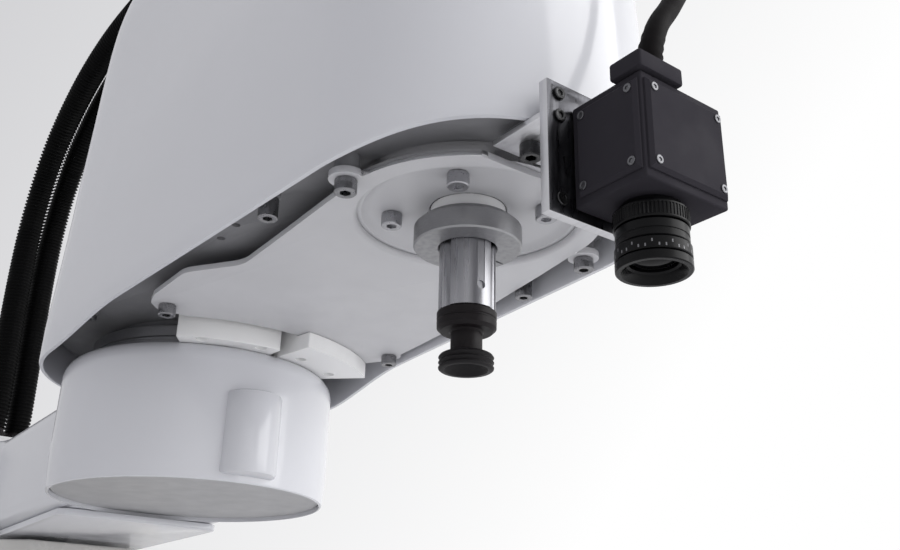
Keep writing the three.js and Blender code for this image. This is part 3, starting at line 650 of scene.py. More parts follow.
def paint_wall_highlight(obj, reach):
    """The upright walls further than `reach` from the shaft's axis get a mirror-bright metal: a painted
    highlight standing in for the bright band the light throws on these painted walls.
    """
    obj.data.materials.append(painted_highlight_metal)
    for face in obj.data.polygons:
        away = math.hypot(face.center.x / MM - SHAFT_X, face.center.y / MM)
        if abs(face.normal.z) < 0.6 and reach < away < 61.7:
            face.material_index = 1


def make_bottom_plate():
    nose = 60.7
    right = [(86, -66, 5), (94, -73, 8), (106, -76, 14), (147, -76, 18), (176, -57, 20),
             (213, -58, 10), (272, -60, 6)]
    left = [(260, 66, 10), (223, 72, 20), (178, 80, 30), (104, 86, 8), (88, 85, 6)]
    corners = [*right, *((x, y, 0) for x, y in arc(REACH, 0, nose, -84, -33, 20)),
               (REACH + 51, -30, 0), (REACH + 51, 30, 0),
               *((x, y, 0) for x, y in arc(REACH, 0, nose, 33, 84, 20)), *left,
               *((x, y, 0) for x, y in arc(0, 0, 98.5, 47, -29, 40))]
    outline = [(J2_X + x, y) for x, y in rounded(corners)]
    plate = prism("bottom_plate", outline, PLATE_Z, PLATE_TOP)
    lugs = [disc("lug", x, y, LUG_R, PLATE_Z, PLATE_TOP, 48) for x, y in PLATE_SCREWS.values()]
    carve(plate, lugs, "UNION")
    holes = [disc("hole", x, y, 2.7, PLATE_Z - 1, PLATE_TOP + 1) for x, y in PLATE_SCREWS.values()]
    lip = [(x, PLATE_Z + 2.5 + z) for x, z in arc(RECESS_R + 2.5, 0, 2.5, 270, 180, 6)]
    opening = lathe(
        "opening",
        [(0, PLATE_Z - 1), (RECESS_R + 2.5, PLATE_Z - 1), *lip, (RECESS_R, PLATE_TOP + 1),
         (0, PLATE_TOP + 1)],
        SHAFT_X, 0, 128,
    )
    carve(plate, [opening, *holes])
    soften(plate, 0.7, 3)
    dress(plate, plate_paint, "outer_arm", ["bottom_plate"], 40)
    # Painted highlight: the plate's outer edge walls turned mirror-bright.
    paint_wall_highlight(plate, nose - 2)


def make_spline_housing():
    z = PLATE_TOP + GAP
    inner = SEAL_R + GAP
    profile = [
        (inner, z + 5), (inner, z + 3.2), (inner + 0.5, z + 2.7), (RECESS_R - 6.5, z + 2.7),
        (RECESS_R - 4.2, z + 2.0), (RECESS_R - 2.8, z + 0.8), (RECESS_R - 1.9, z), (HOUSING_R, z),
        (HOUSING_R, FRAME_Z - GAP), (23, FRAME_Z - GAP), (23, z + 5),
    ]
    housing = lathe("spline_housing", profile, SHAFT_X, 0, 128)
    bores = [disc("bore", x, y, 2.7, z, FRAME_Z) for x, y in FLANGE_SCREWS]
    carve(housing, bores)
    dress(housing, plate_paint, "outer_arm", ["spline_housing"], 30)
    # Painted highlight: the housing's outer wall turned mirror-bright.
    paint_wall_highlight(housing, HOUSING_R - 1)
    seal = lathe("shaft_seal_ring", [
        (12.9, TOOL_Z + 13.4), (13.6, TOOL_Z + 12.6), (16.4, TOOL_Z + 12.6), (SEAL_R, TOOL_Z + 13.2),
        (SEAL_R, TOOL_Z + 19.2), (12.9, TOOL_Z + 19.2)], SHAFT_X, 0, 96)
    dress(seal, white_plastic, "outer_arm", ["shaft_seal_ring"], 30)


def make_frame():
    lean = math.degrees(math.asin((93 - 76) / REACH))
    outline = arc(SHAFT_X, 0, 76, lean - 90, 90 - lean, 60)
    outline += arc(J2_X, 0, 93, 90 - lean, 270 + lean, 80)
    casting = prism("outer_arm_frame", outline, FRAME_Z, FRAME_Z + 12)
    posts = [disc("post", x, y, 5, TOOL_Z + 20, FRAME_Z + 1) for x, y in NOSE_POSTS + TAIL_POSTS]
    posts += [disc("post", x, y, 5.5, PLATE_TOP + GAP, FRAME_Z + 1) for x, y in PLATE_SCREWS.values()]
    posts.append(disc("seat", J2_X, 0, 60, TOOL_Z + 18, FRAME_Z + 1, 96))
    posts.append(disc("boss", J2_X, 0, 52, FRAME_Z + 11, FRAME_Z + 32, 96))
    posts.append(box("pad", SHAFT_X + 55, SHAFT_X + 70, -26, 26, BRACKET_TOP + GAP, FRAME_Z + 1))
    for x, y in ((J2_X + 78, 0), (J2_X + 215, -51), (J2_X + 215, 51)):
        posts.append(disc("pillar", x, y, 7, FRAME_Z + 11, FRAME_Z + 81.7))
    for y in (-70, 70):
        posts.append(box("rib", J2_X + 45, SHAFT_X - 60, y - 4, y + 4, FRAME_Z + 11, FRAME_Z + 20))
    carve(casting, posts, "UNION")
    hollows = [disc("bore", J2_X, 0, 20, TOOL_Z, FRAME_Z + 42, 64),
               disc("bore", SHAFT_X, 0, 26, FRAME_Z - 1, FRAME_Z + 13, 64)]
    hollows += [disc("hole", x, y, 2.7, PLATE_TOP - 1, PLATE_TOP + 7) for x, y in PLATE_SCREWS.values()]
    hollows += [disc("hole", x, y, 2.1, FRAME_Z - 1, FRAME_Z + 6) for x, y in CASTING_HOLES]
    carve(casting, hollows)
    soften(casting, 1.0, 2)
    dress(casting, cast_metal, "outer_arm", ["outer_arm_frame"], 35)


CASTING_HOLES = [(490, -70), (509, -71), (490, 70), (509, 71)]
make_bottom_plate()
make_spline_housing()
make_frame()
HEADS = [
    (f"flange_screw_{number}", (*at, TOOL_Z + 18.7), light_steel, 0.75)
    for number, at in enumerate(FLANGE_SCREWS, start=1)
]
HEADS += [
    ("plate_screw_" + name, (*at, PLATE_Z - GAP), screw_steel, 0.4)
    for name, at in PLATE_SCREWS.items()
]
for name, at, steel, floor in HEADS:
    socket_screw(name, at, DOWN, 4.8, 6, steel, "outer_arm", "screw_steel", [name], floor=floor)
POST_END = TOOL_Z + 19.7
screw_row(
    "nose_post_screw", [(*at, POST_END) for at in NOSE_POSTS],
    DOWN, 4.5, 10, screw_steel, "outer_arm", shank=0.2, floor=0.7,
)
screw_row(
    "tail_post_screw", [(*at, POST_END) for at in TAIL_POSTS],
    DOWN, 4.2, 2.6, screw_steel, "outer_arm", shank=0.2,
)


# --------------------------------------------------------------- tool shaft
SHAFT_R = 12.5
SHAFT_END = low("spline_shaft", 2)
SHAFT_TOP = high("spline_shaft", 2)
SPLINE_TRACKS = (-85, 28, 142)
TRACK_WIDTH = 12  # degrees each side
TRACK_DEPTH = 1.3
KEYWAY = -9
DIMPLE_Z = TOOL_Z - 21
COLLAR_SLOT = 97
SET_SCREW = 53


def shaft_radius(angle):
    """The shaft's section: three ball tracks, each a shallow round groove between two lands."""
    for track in SPLINE_TRACKS:
        off = abs((angle - track + 180) % 360 - 180)
        if off < TRACK_WIDTH:
            return SHAFT_R - TRACK_DEPTH * math.sqrt(1 - (off / TRACK_WIDTH) ** 2)
    return SHAFT_R


def radial(angle, r, z):
    a = math.radians(angle)
    return (SHAFT_X + r * math.cos(a), r * math.sin(a), z)


def make_shaft():
    outline = []
    for step in range(720):
        angle = step / 2
        x, y, _ = radial(angle, shaft_radius(angle), 0)
        outline.append((x, y))
    shaft = prism("spline_shaft", outline, SHAFT_END, SHAFT_TOP)
    dimple = rod("dimple", radial(KEYWAY, 11.4, DIMPLE_Z), radial(KEYWAY, 14, DIMPLE_Z), 2, 40)
    key = box("key", 12.1, 14, -1.7, 1.7, DIMPLE_Z, SHAFT_TOP - 40)
    turn = Matrix.Rotation(math.radians(KEYWAY), 4, "Z")
    key.data.transform(Matrix.Translation((SHAFT_X * MM, 0, 0)) @ turn)
    bore = disc("bore", SHAFT_X, 0, 5.5, SHAFT_END - 1, SHAFT_END + 40, 48)
    carve(shaft, [dimple, key, bore])
    dress(shaft, ground_steel, "tool", ["spline_shaft"], 25)


def make_collar():
    z, r = TOOL_Z, 24.2
    inner = SHAFT_R + GAP
    collar = lathe("shaft_collar", [
        (inner, z + 0.6), (inner + 0.6, z), (r - 0.7, z), (r, z + 0.7), (r, z + 9.5),
        (r - 2.7, z + 12.2), (inner + 0.5, z + 12.2), (inner, z + 11.7)], SHAFT_X, 0, 128)
    slot = box("slot", SHAFT_R - 2, r + 1, -0.55, 0.55, -1, 13)
    turn = Matrix.Rotation(math.radians(COLLAR_SLOT), 4, "Z")
    slot.data.transform(Matrix.Translation((SHAFT_X * MM, 0, z * MM)) @ turn)
    hole = rod("hole", radial(SET_SCREW, SHAFT_R + 4, z + 6), radial(SET_SCREW, r + 1, z + 6), 2.4)
    carve(collar, [slot, hole])
    dress(collar, grey_steel, "tool", ["shaft_collar"], 25)
    outwards = Vector(radial(SET_SCREW, 1, 0)) - Vector((SHAFT_X, 0, 0))
    at = radial(SET_SCREW, r - 2.6, z + 6)
    socket_screw("collar_set_screw", at, outwards, 2.1, 1.4, black_screw, "tool", shank=1.5)


def make_suction_tool():
    neck = TOOL_Z - 49
    holder = lathe("suction_holder", [
        (0, neck), (6.5, neck), (6.85, neck + 0.4), (6.85, neck + 9.2), (7.6, neck + 10),
        (11.4, neck + 10), (12.9, neck + 11.4), (13, neck + 14.2), (12.6, neck + 14.6),
        (12.6, neck + 15.2), (13, neck + 15.6), (13, neck + 18.2), (12.5, SHAFT_END - GAP),
        (5.2, SHAFT_END - GAP), (5.2, SHAFT_END + 14), (0, SHAFT_END + 14)], SHAFT_X, 0, 96)
    dress(holder, black_plastic, "tool", ["suction_holder"], 35)
    lip = TOOL_Z - 56
    cup = lathe("suction_cup", [
        (3, neck - 0.3), (3, lip + 5), (6, lip + 4.5), (8.6, lip + 1.2), (9.4, lip), (11.2, lip),
        (11.8, lip + 0.5), (11.9, lip + 1), (11.4, lip + 1.7), (11.1, lip + 2.1),
        (11.4, lip + 2.6), (11.9, lip + 3.2), (11.4, lip + 3.8), (11.1, lip + 4.3),
        (11.4, lip + 4.8), (11.9, lip + 5.4), (11.3, lip + 6.3), (10.6, neck - 0.3)], SHAFT_X, 0, 96)
    dress(cup, rubber, "tool", ["suction_cup"], 45)


make_shaft()
make_collar()
make_suction_tool()


# --------------------------------------------------------------------- elbow
ELBOW_R = 85.4
BOSS_X = J2_X + 80
BOSS_R = 17.5
COVER_R = 82
STOPPER_Z = (low("stopper_block_right", 2), high("stopper_block_right", 2))
STOPPER_BOLTS = 88.5
STOPPER_REACH = 97.6
STOPPERS = {
    # outer radius, from and to in degrees, screw holes in degrees
    "right": (92, -33, 6, (-24, -1)),
    "left": (110, 10, 46, (18, 40)),
}


def elbow_point(angle, r):
    a = math.radians(angle)
    return J2_X + r * math.cos(a), r * math.sin(a)


def stopper_arc(name, outer, start, end, z0, z1):
    corners = [(*elbow_point(a, outer), 0) for a in np.linspace(start, end, 40)]
    corners[0], corners[-1] = (*corners[0][:2], 1.2), (*corners[-1][:2], 1.2)
    corners += [(*elbow_point(a, 70.6), 0) for a in np.linspace(end, start, 40)]
    return prism(name, rounded(corners, 3), z0, z1)


def make_stopper(side, outer, start, end, holes):
    """A block bolted up to the arm, stepped back where it passes the bottom plate's edge."""
    name = "stopper_block_" + side
    bottom, top = STOPPER_Z
    block = stopper_arc(name, outer, start, end, bottom, PLATE_Z - GAP)
    upper = stopper_arc("upper", min(outer, STOPPER_REACH), start, end, bottom + 2, top)
    carve(block, [upper], "UNION")
    carve(block, [
        disc("sink", *elbow_point(a, STOPPER_BOLTS), 3.4, bottom - 1, bottom + 3.5, 40)
        for a in holes
    ])
    soften(block, 0.8, 3)
    dress(block, white_plastic, "outer_arm", [name], 35)


for side, stopper in STOPPERS.items():
    make_stopper(side, *stopper)


def make_reducer():
    top = high("j2_reducer", 2)
    profile = [
        (12, 290), (60, 290), (60, 325), (67.7, 325), (67.7, 343.3), (69.4, 343.3), (70, 343.9),
        (70, 348.2), (69, 348.8), (69, 350.4), (70, 351), (70, top - 0.6), (69.4, top), (12, top),
    ]
    reducer = lathe("j2_reducer", profile, J2_X, 0, 128)
    dress(reducer, grey_steel, "inner_arm", ["j2_reducer"], 30)


make_reducer()


def inner_arm_outline(inset):
    """Shoulder circle, concave blend and straight waist, closed at the J2 axis."""
    blend = 60 + inset
    r = 84 - inset
    half = 62 - inset
    x = math.sqrt((r + blend) ** 2 - (half + blend) ** 2)
    turn = math.degrees(math.atan2(half + blend, x))
    end = J2_X - inset
    outline = [(end, -half), (end, half)]
    outline += arc(x, half + blend, blend, -90, turn - 180, 20)
    outline += arc(0, 0, r, turn, 360 - turn, 80)[1:-1]
    return outline + arc(x, -half - blend, blend, 180 - turn, 90, 20)


def make_inner_arm():
    arm = prism("inner_arm_casting", inner_arm_outline(0), ARM_BOTTOM, ARM_TOP)
    soften(arm, 12, 5, 50)
    cup = lathe("cup", [
        (0, ARM_BOTTOM), (ELBOW_R - 2.2, ARM_BOTTOM), (ELBOW_R - 1.4, ARM_BOTTOM + 0.5),
        (ELBOW_R - 1.1, ARM_BOTTOM + 1.6), (ELBOW_R, ARM_BOTTOM + 16), (ELBOW_R, ARM_TOP - 6),
        (ELBOW_R - 0.5, ARM_TOP - 3.2), (ELBOW_R - 1.5, ARM_TOP - 0.8), (ELBOW_R - 3, ARM_TOP + 1.4),
        (ELBOW_R - 5, ELBOW_TOP), (0, ELBOW_TOP)], J2_X, 0, 160)
    boss = lathe("boss", [
        (0, 268), (BOSS_R - 2, 268), (BOSS_R - 0.6, 268.6), (BOSS_R, 270), (BOSS_R, 314),
        (BOSS_R - 0.6, 315.4), (BOSS_R - 2, 316), (0, 316)], BOSS_X, 0, 96)
    carve(arm, [cup, boss], "UNION")
    hollows = [
        prism("hollow", inner_arm_outline(7), ARM_BOTTOM + 10, ARM_TOP - 8),
        disc("recess", J2_X, 0, COVER_R + 0.4, ARM_BOTTOM - 1, ARM_BOTTOM + 6, 160),
        disc("inside", J2_X, 0, 78, ARM_BOTTOM, ELBOW_TOP - 9, 128),
        disc("bore", J2_X, 0, 68, ARM_TOP - 20, ELBOW_TOP + 1, 128),
        box("access", 72, 232, -40, 40, ARM_BOTTOM - 1, ARM_BOTTOM + 12),
        disc("hub", 0, 0, 17, ARM_BOTTOM - 1, ARM_BOTTOM + 12, 48),
    ]
    hollows += [disc("exit", x, y, 8, ARM_TOP - 10, ARM_TOP + 1) for x, y in CONDUIT_EXITS]
    carve(arm, hollows)
    dress(arm, arm_paint, "inner_arm", ["inner_arm_casting"], 30)


def make_arm_covers():
    corners = [(64, -56, 8), (240, -56, 8), (240, 56, 8), (64, 56, 8)]
    cover = prism(
        "inner_arm_cover", rounded(corners), low("inner_arm_cover", 2), high("inner_arm_cover", 2)
    )
    soften(cover, 0.8, 2)
    dress(cover, arm_paint, "inner_arm", ["inner_arm_cover"], 35)
    under = low("elbow_cover", 2)
    lid = lathe("elbow_cover", [
        (0, under), (COVER_R - 0.6, under), (COVER_R, under + 0.6), (COVER_R, under + 3),
        (0, under + 3)], J2_X, 0, 128)
    dress(lid, lid_paint, "inner_arm", ["elbow_cover"], 30)


def make_bonnet():
    corners = [(-62, -71, 10), (20, -71, 10), (20, -9, 10), (-62, -9, 10)]
    bottom = low("cable_bonnet", 2)
    bonnet = prism("cable_bonnet", rounded(corners), bottom, BONNET_TOP)
    carve(bonnet, [disc("bore", x, y, 7, bottom - 1, BONNET_TOP + 1) for x, y in CONDUIT_EXITS])
    soften(bonnet, 2.2, 3)
    dress(bonnet, white_plastic, "inner_arm", ["cable_bonnet"], 35)
    places = [(x, y, BONNET_TOP) for x, y in ((-54, -63), (12, -63), (12, -17), (-54, -17))]
    screw_row("bonnet_screw", places, UP, 3, 2.4, black_screw, "inner_arm", shank=0.1)


def make_gland(name, x, y, z, body, nut_r, sleeve_r, lengths, bore):
    """A hexagon nut with a fluted clamping sleeve on it."""
    nut_top, sleeve_top, end = lengths
    nut = prism(name, arc(x, y, nut_r, 0, 300, 5), z, z + nut_top)
    soften(nut, 0.5, 2)
    outline = [
        (x + (sleeve_r - 0.5 * (k % 4 // 2)) * math.cos(k * math.pi / 48),
         y + (sleeve_r - 0.5 * (k % 4 // 2)) * math.sin(k * math.pi / 48)) for k in range(96)
    ]
    sleeve = prism("sleeve", outline, z + nut_top - 1, z + sleeve_top)
    tip = lathe("tip", [(0, z + nut_top), (sleeve_r - 1, z + nut_top), (sleeve_r - 1, z + sleeve_top),
                        (sleeve_r - 1.5, z + end), (0, z + end)], x, y, 64)
    carve(nut, [sleeve, tip], "UNION")
    carve(nut, [disc("bore", x, y, bore, z - 1, z + end + 1, 32)])
    dress(nut, black_plastic, body, [name], 30)


make_inner_arm()
make_arm_covers()
make_bonnet()
for side, (x0, y0), (x1, y1) in zip(("outer", "inner"), CONDUIT_EXITS, ROOF_GLANDS):
    make_gland("lower_gland_" + side, x0, y0, BONNET_TOP + GAP, "inner_arm", 11.6, 11, (6, 13, 16), 7)
    make_gland("upper_gland_" + side, x1, y1, COVER_TOP + GAP, "outer_arm", 11.6, 11, (6, 13, 16), 7)
make_gland("cable_gland", *CABLE_GLAND, COVER_TOP + GAP, "outer_arm", 8, 7, (5, 9, 12), 4)


# ------------------------------------------------------------ vision camera
FACE_X = low("bracket_face_plate", 0)
FACE_END = high("bracket_face_plate", 0)
BODY_LOW, BODY_HIGH = ([round(c / MM, 2) for c in corner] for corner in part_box("camera_body"))
PANEL = 2.0
BRACKET_HOLES = [(-26.5, 25.5), (-26.5, 15.9), (-26.5, -18.4)]


def make_bracket():
    face = box(
        "bracket_face_plate", FACE_X, FACE_END, -32.5, 32.5,
        low("bracket_face_plate", 2), high("bracket_face_plate", 2),
    )
    carve(face, [
        rod("hole", (FACE_X - 1, y, TOOL_Z + z), (FACE_X + 6, y, TOOL_Z + z), 1.8)
        for y, z in BRACKET_HOLES
    ])
    soften(face, 0.5, 2)
    dress(face, aluminium, "outer_arm", ["bracket_face_plate"], 35)
    # The face looking along +x gets the dark aluminium: a painted reflection of the dark camera body
    # and painted shade.
    face.data.materials.append(shade_reflection_metal)
    for side in face.data.polygons:
        side.material_index = int(side.normal.x > 0.9)
    low_z = low("bracket_base_plate", 2)
    foot = box("bracket_base_plate", SHAFT_X + 55, FACE_X - GAP, -31, 31, low_z, BRACKET_TOP)
    soften(foot, 0.5, 2)
    dress(foot, aluminium, "outer_arm", ["bracket_base_plate"], 35)
    places = [(SHAFT_X + 65, y, low_z) for y in (-20, 20)]
    screw_row("bracket_foot_screw", places, DOWN, 4.4, 6, black_screw, "outer_arm", shank=0.1)
    places = [(FACE_END, y, TOOL_Z + z) for y, z in BRACKET_HOLES]
    screw_row(
        "bracket_face_screw", places, (1, 0, 0), 2.6, 1.0, black_screw, "outer_arm", shank=0.1
    )


def side_panel(name, axis, sign):
    """A raised panel with chamfered edges, let into one side of the camera."""
    (x0, y0, z0), (x1, y1, z1) = BODY_LOW, BODY_HIGH
    inset = 3.2
    if axis == 0:
        across = (y0 + inset, y1 - inset)
    else:
        across = (x0 + inset, x1 - inset)
    upright_span = (z0 + inset, z1 - inset)
    rim = []
    for shrink, out in ((0, -0.6), (0, PANEL - 1.2), (1.4, PANEL)):
        for a, b in ((0, 0), (1, 0), (1, 1), (0, 1)):
            u = across[a] + (shrink if a == 0 else -shrink)
            v = upright_span[b] + (shrink if b == 0 else -shrink)
            face = (BODY_LOW, BODY_HIGH)[sign > 0][axis] - sign * PANEL
            rim.append((face + sign * out, u, v) if axis == 0 else (u, face + sign * out, v))
    return raw(name, rim, rings_to_faces(3, 4, close=False))


def make_camera_body():
    (x0, y0, z0), (x1, y1, z1) = BODY_LOW, BODY_HIGH
    core = box("camera_body", x0, x1 - PANEL, y0 + PANEL, y1 - PANEL, z0, z1)
    soften(core, 0.9, 3)
    panels = [side_panel("panel", 1, -1), side_panel("panel", 1, 1), side_panel("panel", 0, 1)]
    body = joined("camera_body", [core, *panels])
    dress(body, camera_paint, "outer_arm", ["camera_body"], 30)
    inset = 6.5
    sides = {
        "side": [(x, y0, z) for x in (x0 + inset, x1 - inset) for z in (z0 + inset, z1 - inset)],
        "back": [(x, y1, z) for x in (x0 + inset, x1 - inset) for z in (z0 + inset, z1 - inset)],
        "end": [(x1, y, z) for y in (y0 + inset, y1 - inset) for z in (z0 + inset, z1 - inset)],
    }
    for (side, places), axis in zip(sides.items(), ((0, -1, 0), (0, 1, 0), (1, 0, 0))):
        name = f"camera_{side}_screw"
        screw_row(name, places, axis, 1.7, 0.5, camera_screw, "outer_arm", shank=0.05, floor=0.2)
    top = z1 + GAP
    left, right = low("camera_connector", 0), high("camera_connector", 0)
    front, back = low("camera_connector", 1), high("camera_connector", 1)
    corners = [(left, front, 1.2), (right, front, 1.2), (right, back, 1.2), (left, back, 1.2)]
    connector = prism("camera_connector", rounded(corners), top, CONNECTOR_TOP)
    soften(connector, 0.8, 2)
    dress(connector, camera_paint, "outer_arm", ["camera_connector"], 35)


def knurled_ring(name, radii, heights, body, teeth=60, depth=0.35):
    """A ring whose outer face is cut with straight knurling between two plain edges."""
    inner, outer = radii
    z0, z1 = heights
    steps = teeth * 4
    points = []
    for r, z, cut in ((inner, z0, 0), (outer - 0.3, z0, 0), (outer, z0 + 0.3, 0), (outer, z0 + 0.8, 0),
                      (outer, z0 + 1.0, 1), (outer, z1 - 1.0, 1), (outer, z1 - 0.8, 0),
                      (outer, z1 - 0.3, 0), (outer - 0.3, z1, 0), (inner, z1, 0)):
        for k in range(steps):
            a = 2 * math.pi * k / steps
            here = r - depth * cut * (k % 4 // 2)
            points.append((LENS_X + here * math.cos(a), LENS_Y + here * math.sin(a), z))
    ring = raw(name, points, rings_to_faces(10, steps, close=True))
    dress(ring, lens_black, body, [name], 25)


def make_lens():
    def at(z):
        return LENS_Z + z

    barrel = lathe("lens_barrel", [
        (0, at(-41.2)), (8.8, at(-41.2)), (8.8, at(-43.2)), (9.6, at(-43.8)), (10.2, at(-45.4)),
        (11.6, at(-47)), (13.1, at(-47)), (13.5, at(-46.6)), (13.5, at(-43.9)), (13.1, at(-43.5)),
        (11, at(-43.5)), (11, at(-38.2)), (12.6, at(-38.2)), (13, at(-37.8)), (13, at(-36)),
        (12.7, at(-35.8)), (12.7, at(-35.2)), (13, at(-35)), (13, at(-32)), (12.6, at(-31.6)),
        (11, at(-31.6)), (11, BODY_LOW[2] - GAP), (0, BODY_LOW[2] - GAP)], LENS_X, LENS_Y, 128)
    dress(barrel, lens_black, "outer_arm", ["lens_barrel"], 25)
    knurled_ring("lens_focus_ring", (11.3, 13.5), (at(-31.2), at(-25)), "focus_ring")
    iris = lathe("lens_iris_ring", [
        (11.3, at(-43.1)), (13.2, at(-43.1)), (13.5, at(-42.8)), (13.5, at(-38.9)),
        (13.2, at(-38.6)), (11.3, at(-38.6))], LENS_X, LENS_Y, 128)
    dress(iris, lens_black, "iris_ring", ["lens_iris_ring"], 25)
    glass = lathe("lens_glass", [
        (0, at(-43.8)), (2.5, at(-43.7)), (4.5, at(-43.5)), (6.6, at(-43.1)), (8.2, at(-42.7)),
        (8.6, at(-42.3)), (8.6, at(-41.4)), (0, at(-41.4))], LENS_X, LENS_Y, 96)
    dress(glass, lens_glass, "outer_arm", ["lens_glass"], 40)
    marks = []
    for number, angle in enumerate(range(190, 390, 10)):
        a = math.radians(angle)
        x, y = LENS_X + 13.5 * math.cos(a), LENS_Y + 13.5 * math.sin(a)
        bottom = at(-42.5) if number % 3 else at(-41)
        tick = box("tick", -0.25, 0.06, -0.25, 0.25, bottom, bottom + 1.1)
        tick.data.transform(Matrix.Translation((x * MM, y * MM, 0)) @ Matrix.Rotation(a, 4, "Z"))
        marks.append(tick)
    dress(joined("lens_scale", marks), silver_mark, "iris_ring")


make_bracket()
make_camera_body()
make_lens()


# ---------------------------------------------------------------------- base
COLUMN = [
    (118, -40), (118, 40), (80, 78), (-80, 78), (-110, 60), (-110, -60), (-80, -78), (80, -78),
]
FOOT_HOLES = [(-105, -75), (-105, 75), (120, -75), (120, 75)]
REAR_X = -110


def make_base():
    corners = [(-125, -95, 14), (140, -95, 14), (140, 95, 14), (-125, 95, 14)]
    foot = prism("base_housing", rounded(corners), 0, 18)
    soften(foot, 2.5, 3)
    column = prism("column", rounded([(x, y, 9) for x, y in COLUMN], 8), 16, BASE_TOP)
    soften(column, 2.0, 3, 60)
    carve(foot, [column], "UNION")
    hollows = [
        prism("hollow", [(x * 0.88, y * 0.88) for x, y in COLUMN], 26, BASE_TOP - 14),
        disc("bore", 0, 0, 62.3, BASE_TOP - 20, BASE_TOP + 1, 96),
        box("opening", REAR_X - 1, -80, -48, 48, 42, 198),
    ]
    hollows += [disc("hole", x, y, 5.5, -1, 19, 40) for x, y in FOOT_HOLES]
    hollows += [disc("sink", x, y, 9.5, 17, 19, 40) for x, y in FOOT_HOLES]
    carve(foot, hollows)
    dress(foot, base_paint, "base", ["base_housing"], 35)
    for side, sign in (("right", -1), ("left", 1)):
        near, far = sorted((sign * 77.7, sign * 79.2))
        panel = box("base_side_panel_" + side, -72, 68, near, far, 40, 220)
        soften(panel, 0.6, 2)
        dress(panel, base_paint, "base")
        places = [(x, sign * 79.2, z) for x, z in ((-66, 46), (62, 46), (62, 214), (-66, 214))]
        name = "side_panel_screw_" + side
        screw_row(name, places, (0, sign, 0), 3, 2, screw_steel, "base", shank=0.3)


def make_rear():
    x = REAR_X - GAP
    panel = box("base_rear_panel", x - 3, x, -56, 56, 34, 206)
    holes = [rod("hole", (x - 5, y, 150), (x + 5, y, 150), r - 2, 64) for y, r in ((-25, 17), (25, 13))]
    holes += [rod("hole", (x - 5, y, 85), (x + 5, y, 85), 6, 32) for y in (-22, 22)]
    carve(panel, holes)
    soften(panel, 0.6, 2)
    dress(panel, aluminium, "base", ["base_rear_panel"], 35)
    places = [(x - 3, y, z) for y, z in ((-50, 40), (50, 40), (50, 200), (-50, 200))]
    screw_row("rear_panel_screw", places, (-1, 0, 0), 3, 2, screw_steel, "base", shank=0.3)
    make_bulkhead("power_connector", -25, 17, 4)
    make_bulkhead("signal_connector", 25, 13, 9)
    make_manifold()


def make_bulkhead(name, y, r, pins):
    """A round connector: square flange, threaded collar and pins down in its socket."""
    face = REAR_X - 2 * GAP - 3
    flange = box(name, face - 3, face, y - r - 3, y + r + 3, 150 - r - 3, 150 + r + 3)
    soften(flange, 1.2, 3)
    shell = rod("shell", (face - 22, y, 150), (face + 12, y, 150), r - 2.3, 64)
    collar = rod("collar", (face - 22, y, 150), (face - 8, y, 150), r, 64)
    carve(flange, [shell, collar], "UNION")
    carve(flange, [rod("socket", (face - 23, y, 150), (face - 8, y, 150), r - 4.5, 64)])
    soften(flange, 0.4, 1)
    dress(flange, black_plastic, "base", [name], 35)
    contacts = []
    for k in range(pins):
        a = 2 * math.pi * k / pins
        at = (y + 0.55 * (r - 4.5) * math.cos(a), 150 + 0.55 * (r - 4.5) * math.sin(a))
        contacts.append(rod("pin", (face - 16, *at), (face - 7.9, *at), 0.9, 16))
    dress(joined(name + "_pins", contacts), aluminium, "base")


def make_manifold():
    face = REAR_X - 2 * GAP - 3
    bar = box("air_manifold", face - 8, face, -34, 34, 73, 97)
    soften(bar, 1.2, 3)
    for y in (-22, 22):
        neck = rod("neck", (face - 1, y, 85), (face + 10, y, 85), 5.7, 32)
        nut = rod("nut", (face - 13, y, 85), (face - 7, y, 85), 9, 6)
        sleeve = rod("sleeve", (face - 25.8, y, 85), (face - 12, y, 85), 6.5, 48)
        carve(bar, [neck, nut, sleeve], "UNION")
        carve(bar, [rod("bore", (face - 27, y, 85), (face + 11, y, 85), 4, 32)])
    soften(bar, 0.3, 1)
    dress(bar, aluminium, "base", ["air_manifold"], 35)


make_base()
make_rear()

KEPT = {
    "j1_motor": motor_paint, "j2_motor": motor_paint, "theta_motor": motor_paint,
    "z_motor": motor_paint, "j1_reducer": grey_steel, "j1_output_hub": grey_steel,
    "drive_plate": aluminium, "theta_belt": rubber, "z_belt": rubber,
    "theta_motor_pulley": aluminium, "z_motor_pulley": aluminium, "theta_pulley": aluminium,
    "spline_nut": ground_steel, "screw_nut": ground_steel, "screw_bearing": ground_steel,
}
for name, material in KEPT.items():
    keep_node(name, material)


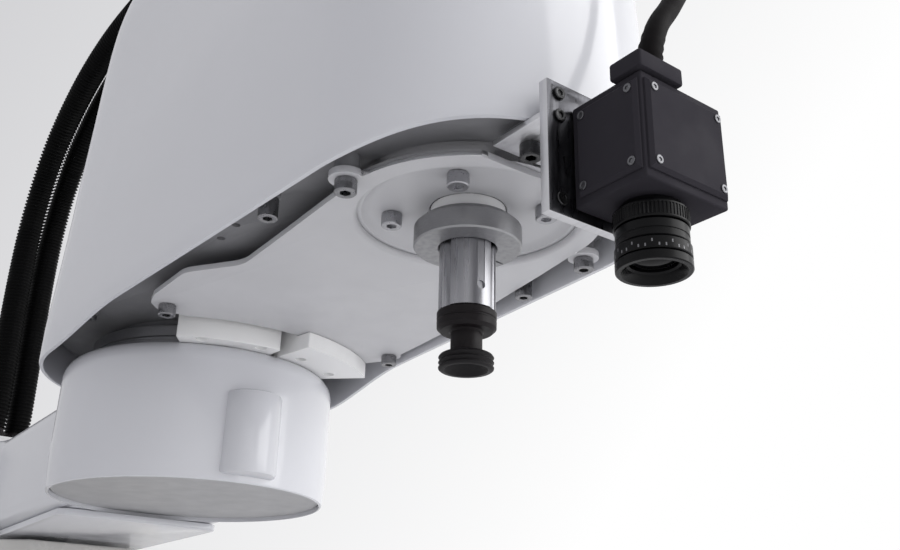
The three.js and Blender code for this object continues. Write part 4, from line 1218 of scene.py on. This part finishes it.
# --------------------------------------------------------------------- light
def make_world():
    world = bpy.data.worlds.new("studio")
    bpy.context.scene.world = world
    world.use_nodes = True
    tree = world.node_tree
    place = tree.nodes.new("ShaderNodeTexCoord").outputs["Generated"]
    slope = tree.nodes.new("ShaderNodeVectorMath")
    slope.operation = "DOT_PRODUCT"
    slope.inputs[1].default_value = (across * 0.75 - upright * 0.45).normalized()
    tree.links.new(place, slope.inputs[0])
    ramp = tree.nodes.new("ShaderNodeValToRGB")
    stops = ramp.color_ramp.elements
    stops[0].position, stops[0].color = 0.0, (0.62, 0.62, 0.64, 1)
    stops[1].position, stops[1].color = 1.0, (1, 1, 1, 1)
    span = tree.nodes.new("ShaderNodeMapRange")
    span.inputs["From Min"].default_value = -0.55
    span.inputs["From Max"].default_value = 0.25
    tree.links.new(slope.outputs["Value"], span.inputs["Value"])
    tree.links.new(span.outputs["Result"], ramp.inputs["Fac"])
    tree.links.new(ramp.outputs["Color"], tree.nodes["Background"].inputs["Color"])


def softbox(name, at, toward, size, watts, color=(1, 1, 1)):
    light = bpy.data.lights.new(name, "AREA")
    light.shape = "RECTANGLE"
    light.size, light.size_y = size
    light.energy = watts
    light.color = color
    obj = bpy.data.objects.new(name, light)
    obj.matrix_world = Matrix.Translation(at) @ (
        (Vector(toward) - Vector(at)).to_track_quat("-Z", "Y").to_matrix().to_4x4()
    )
    bpy.context.scene.collection.objects.link(obj)


def make_floor():
    corners = [(-3000, -3000, -1), (4000, -3000, -1), (4000, 3000, -1), (-3000, 3000, -1)]
    floor = raw("floor", corners, [(0, 1, 2, 3)])
    pale = Shader("pale_floor", (0.82, 0.82, 0.83), 0.6)
    floor.data.materials.append(pale.material)


make_world()
make_floor()
bpy.context.scene.view_settings.view_transform = "Standard"
middle = Vector((J2_X + 150, 0, TOOL_Z + 60)) * MM
softbox("key", middle + across * 1.3 + upright * 0.5 - forward * 0.2, middle, (1.2, 1.6), 14)
softbox("under", middle + Vector((0.25, -0.5, -0.75)), middle, (0.9, 0.9), 4)
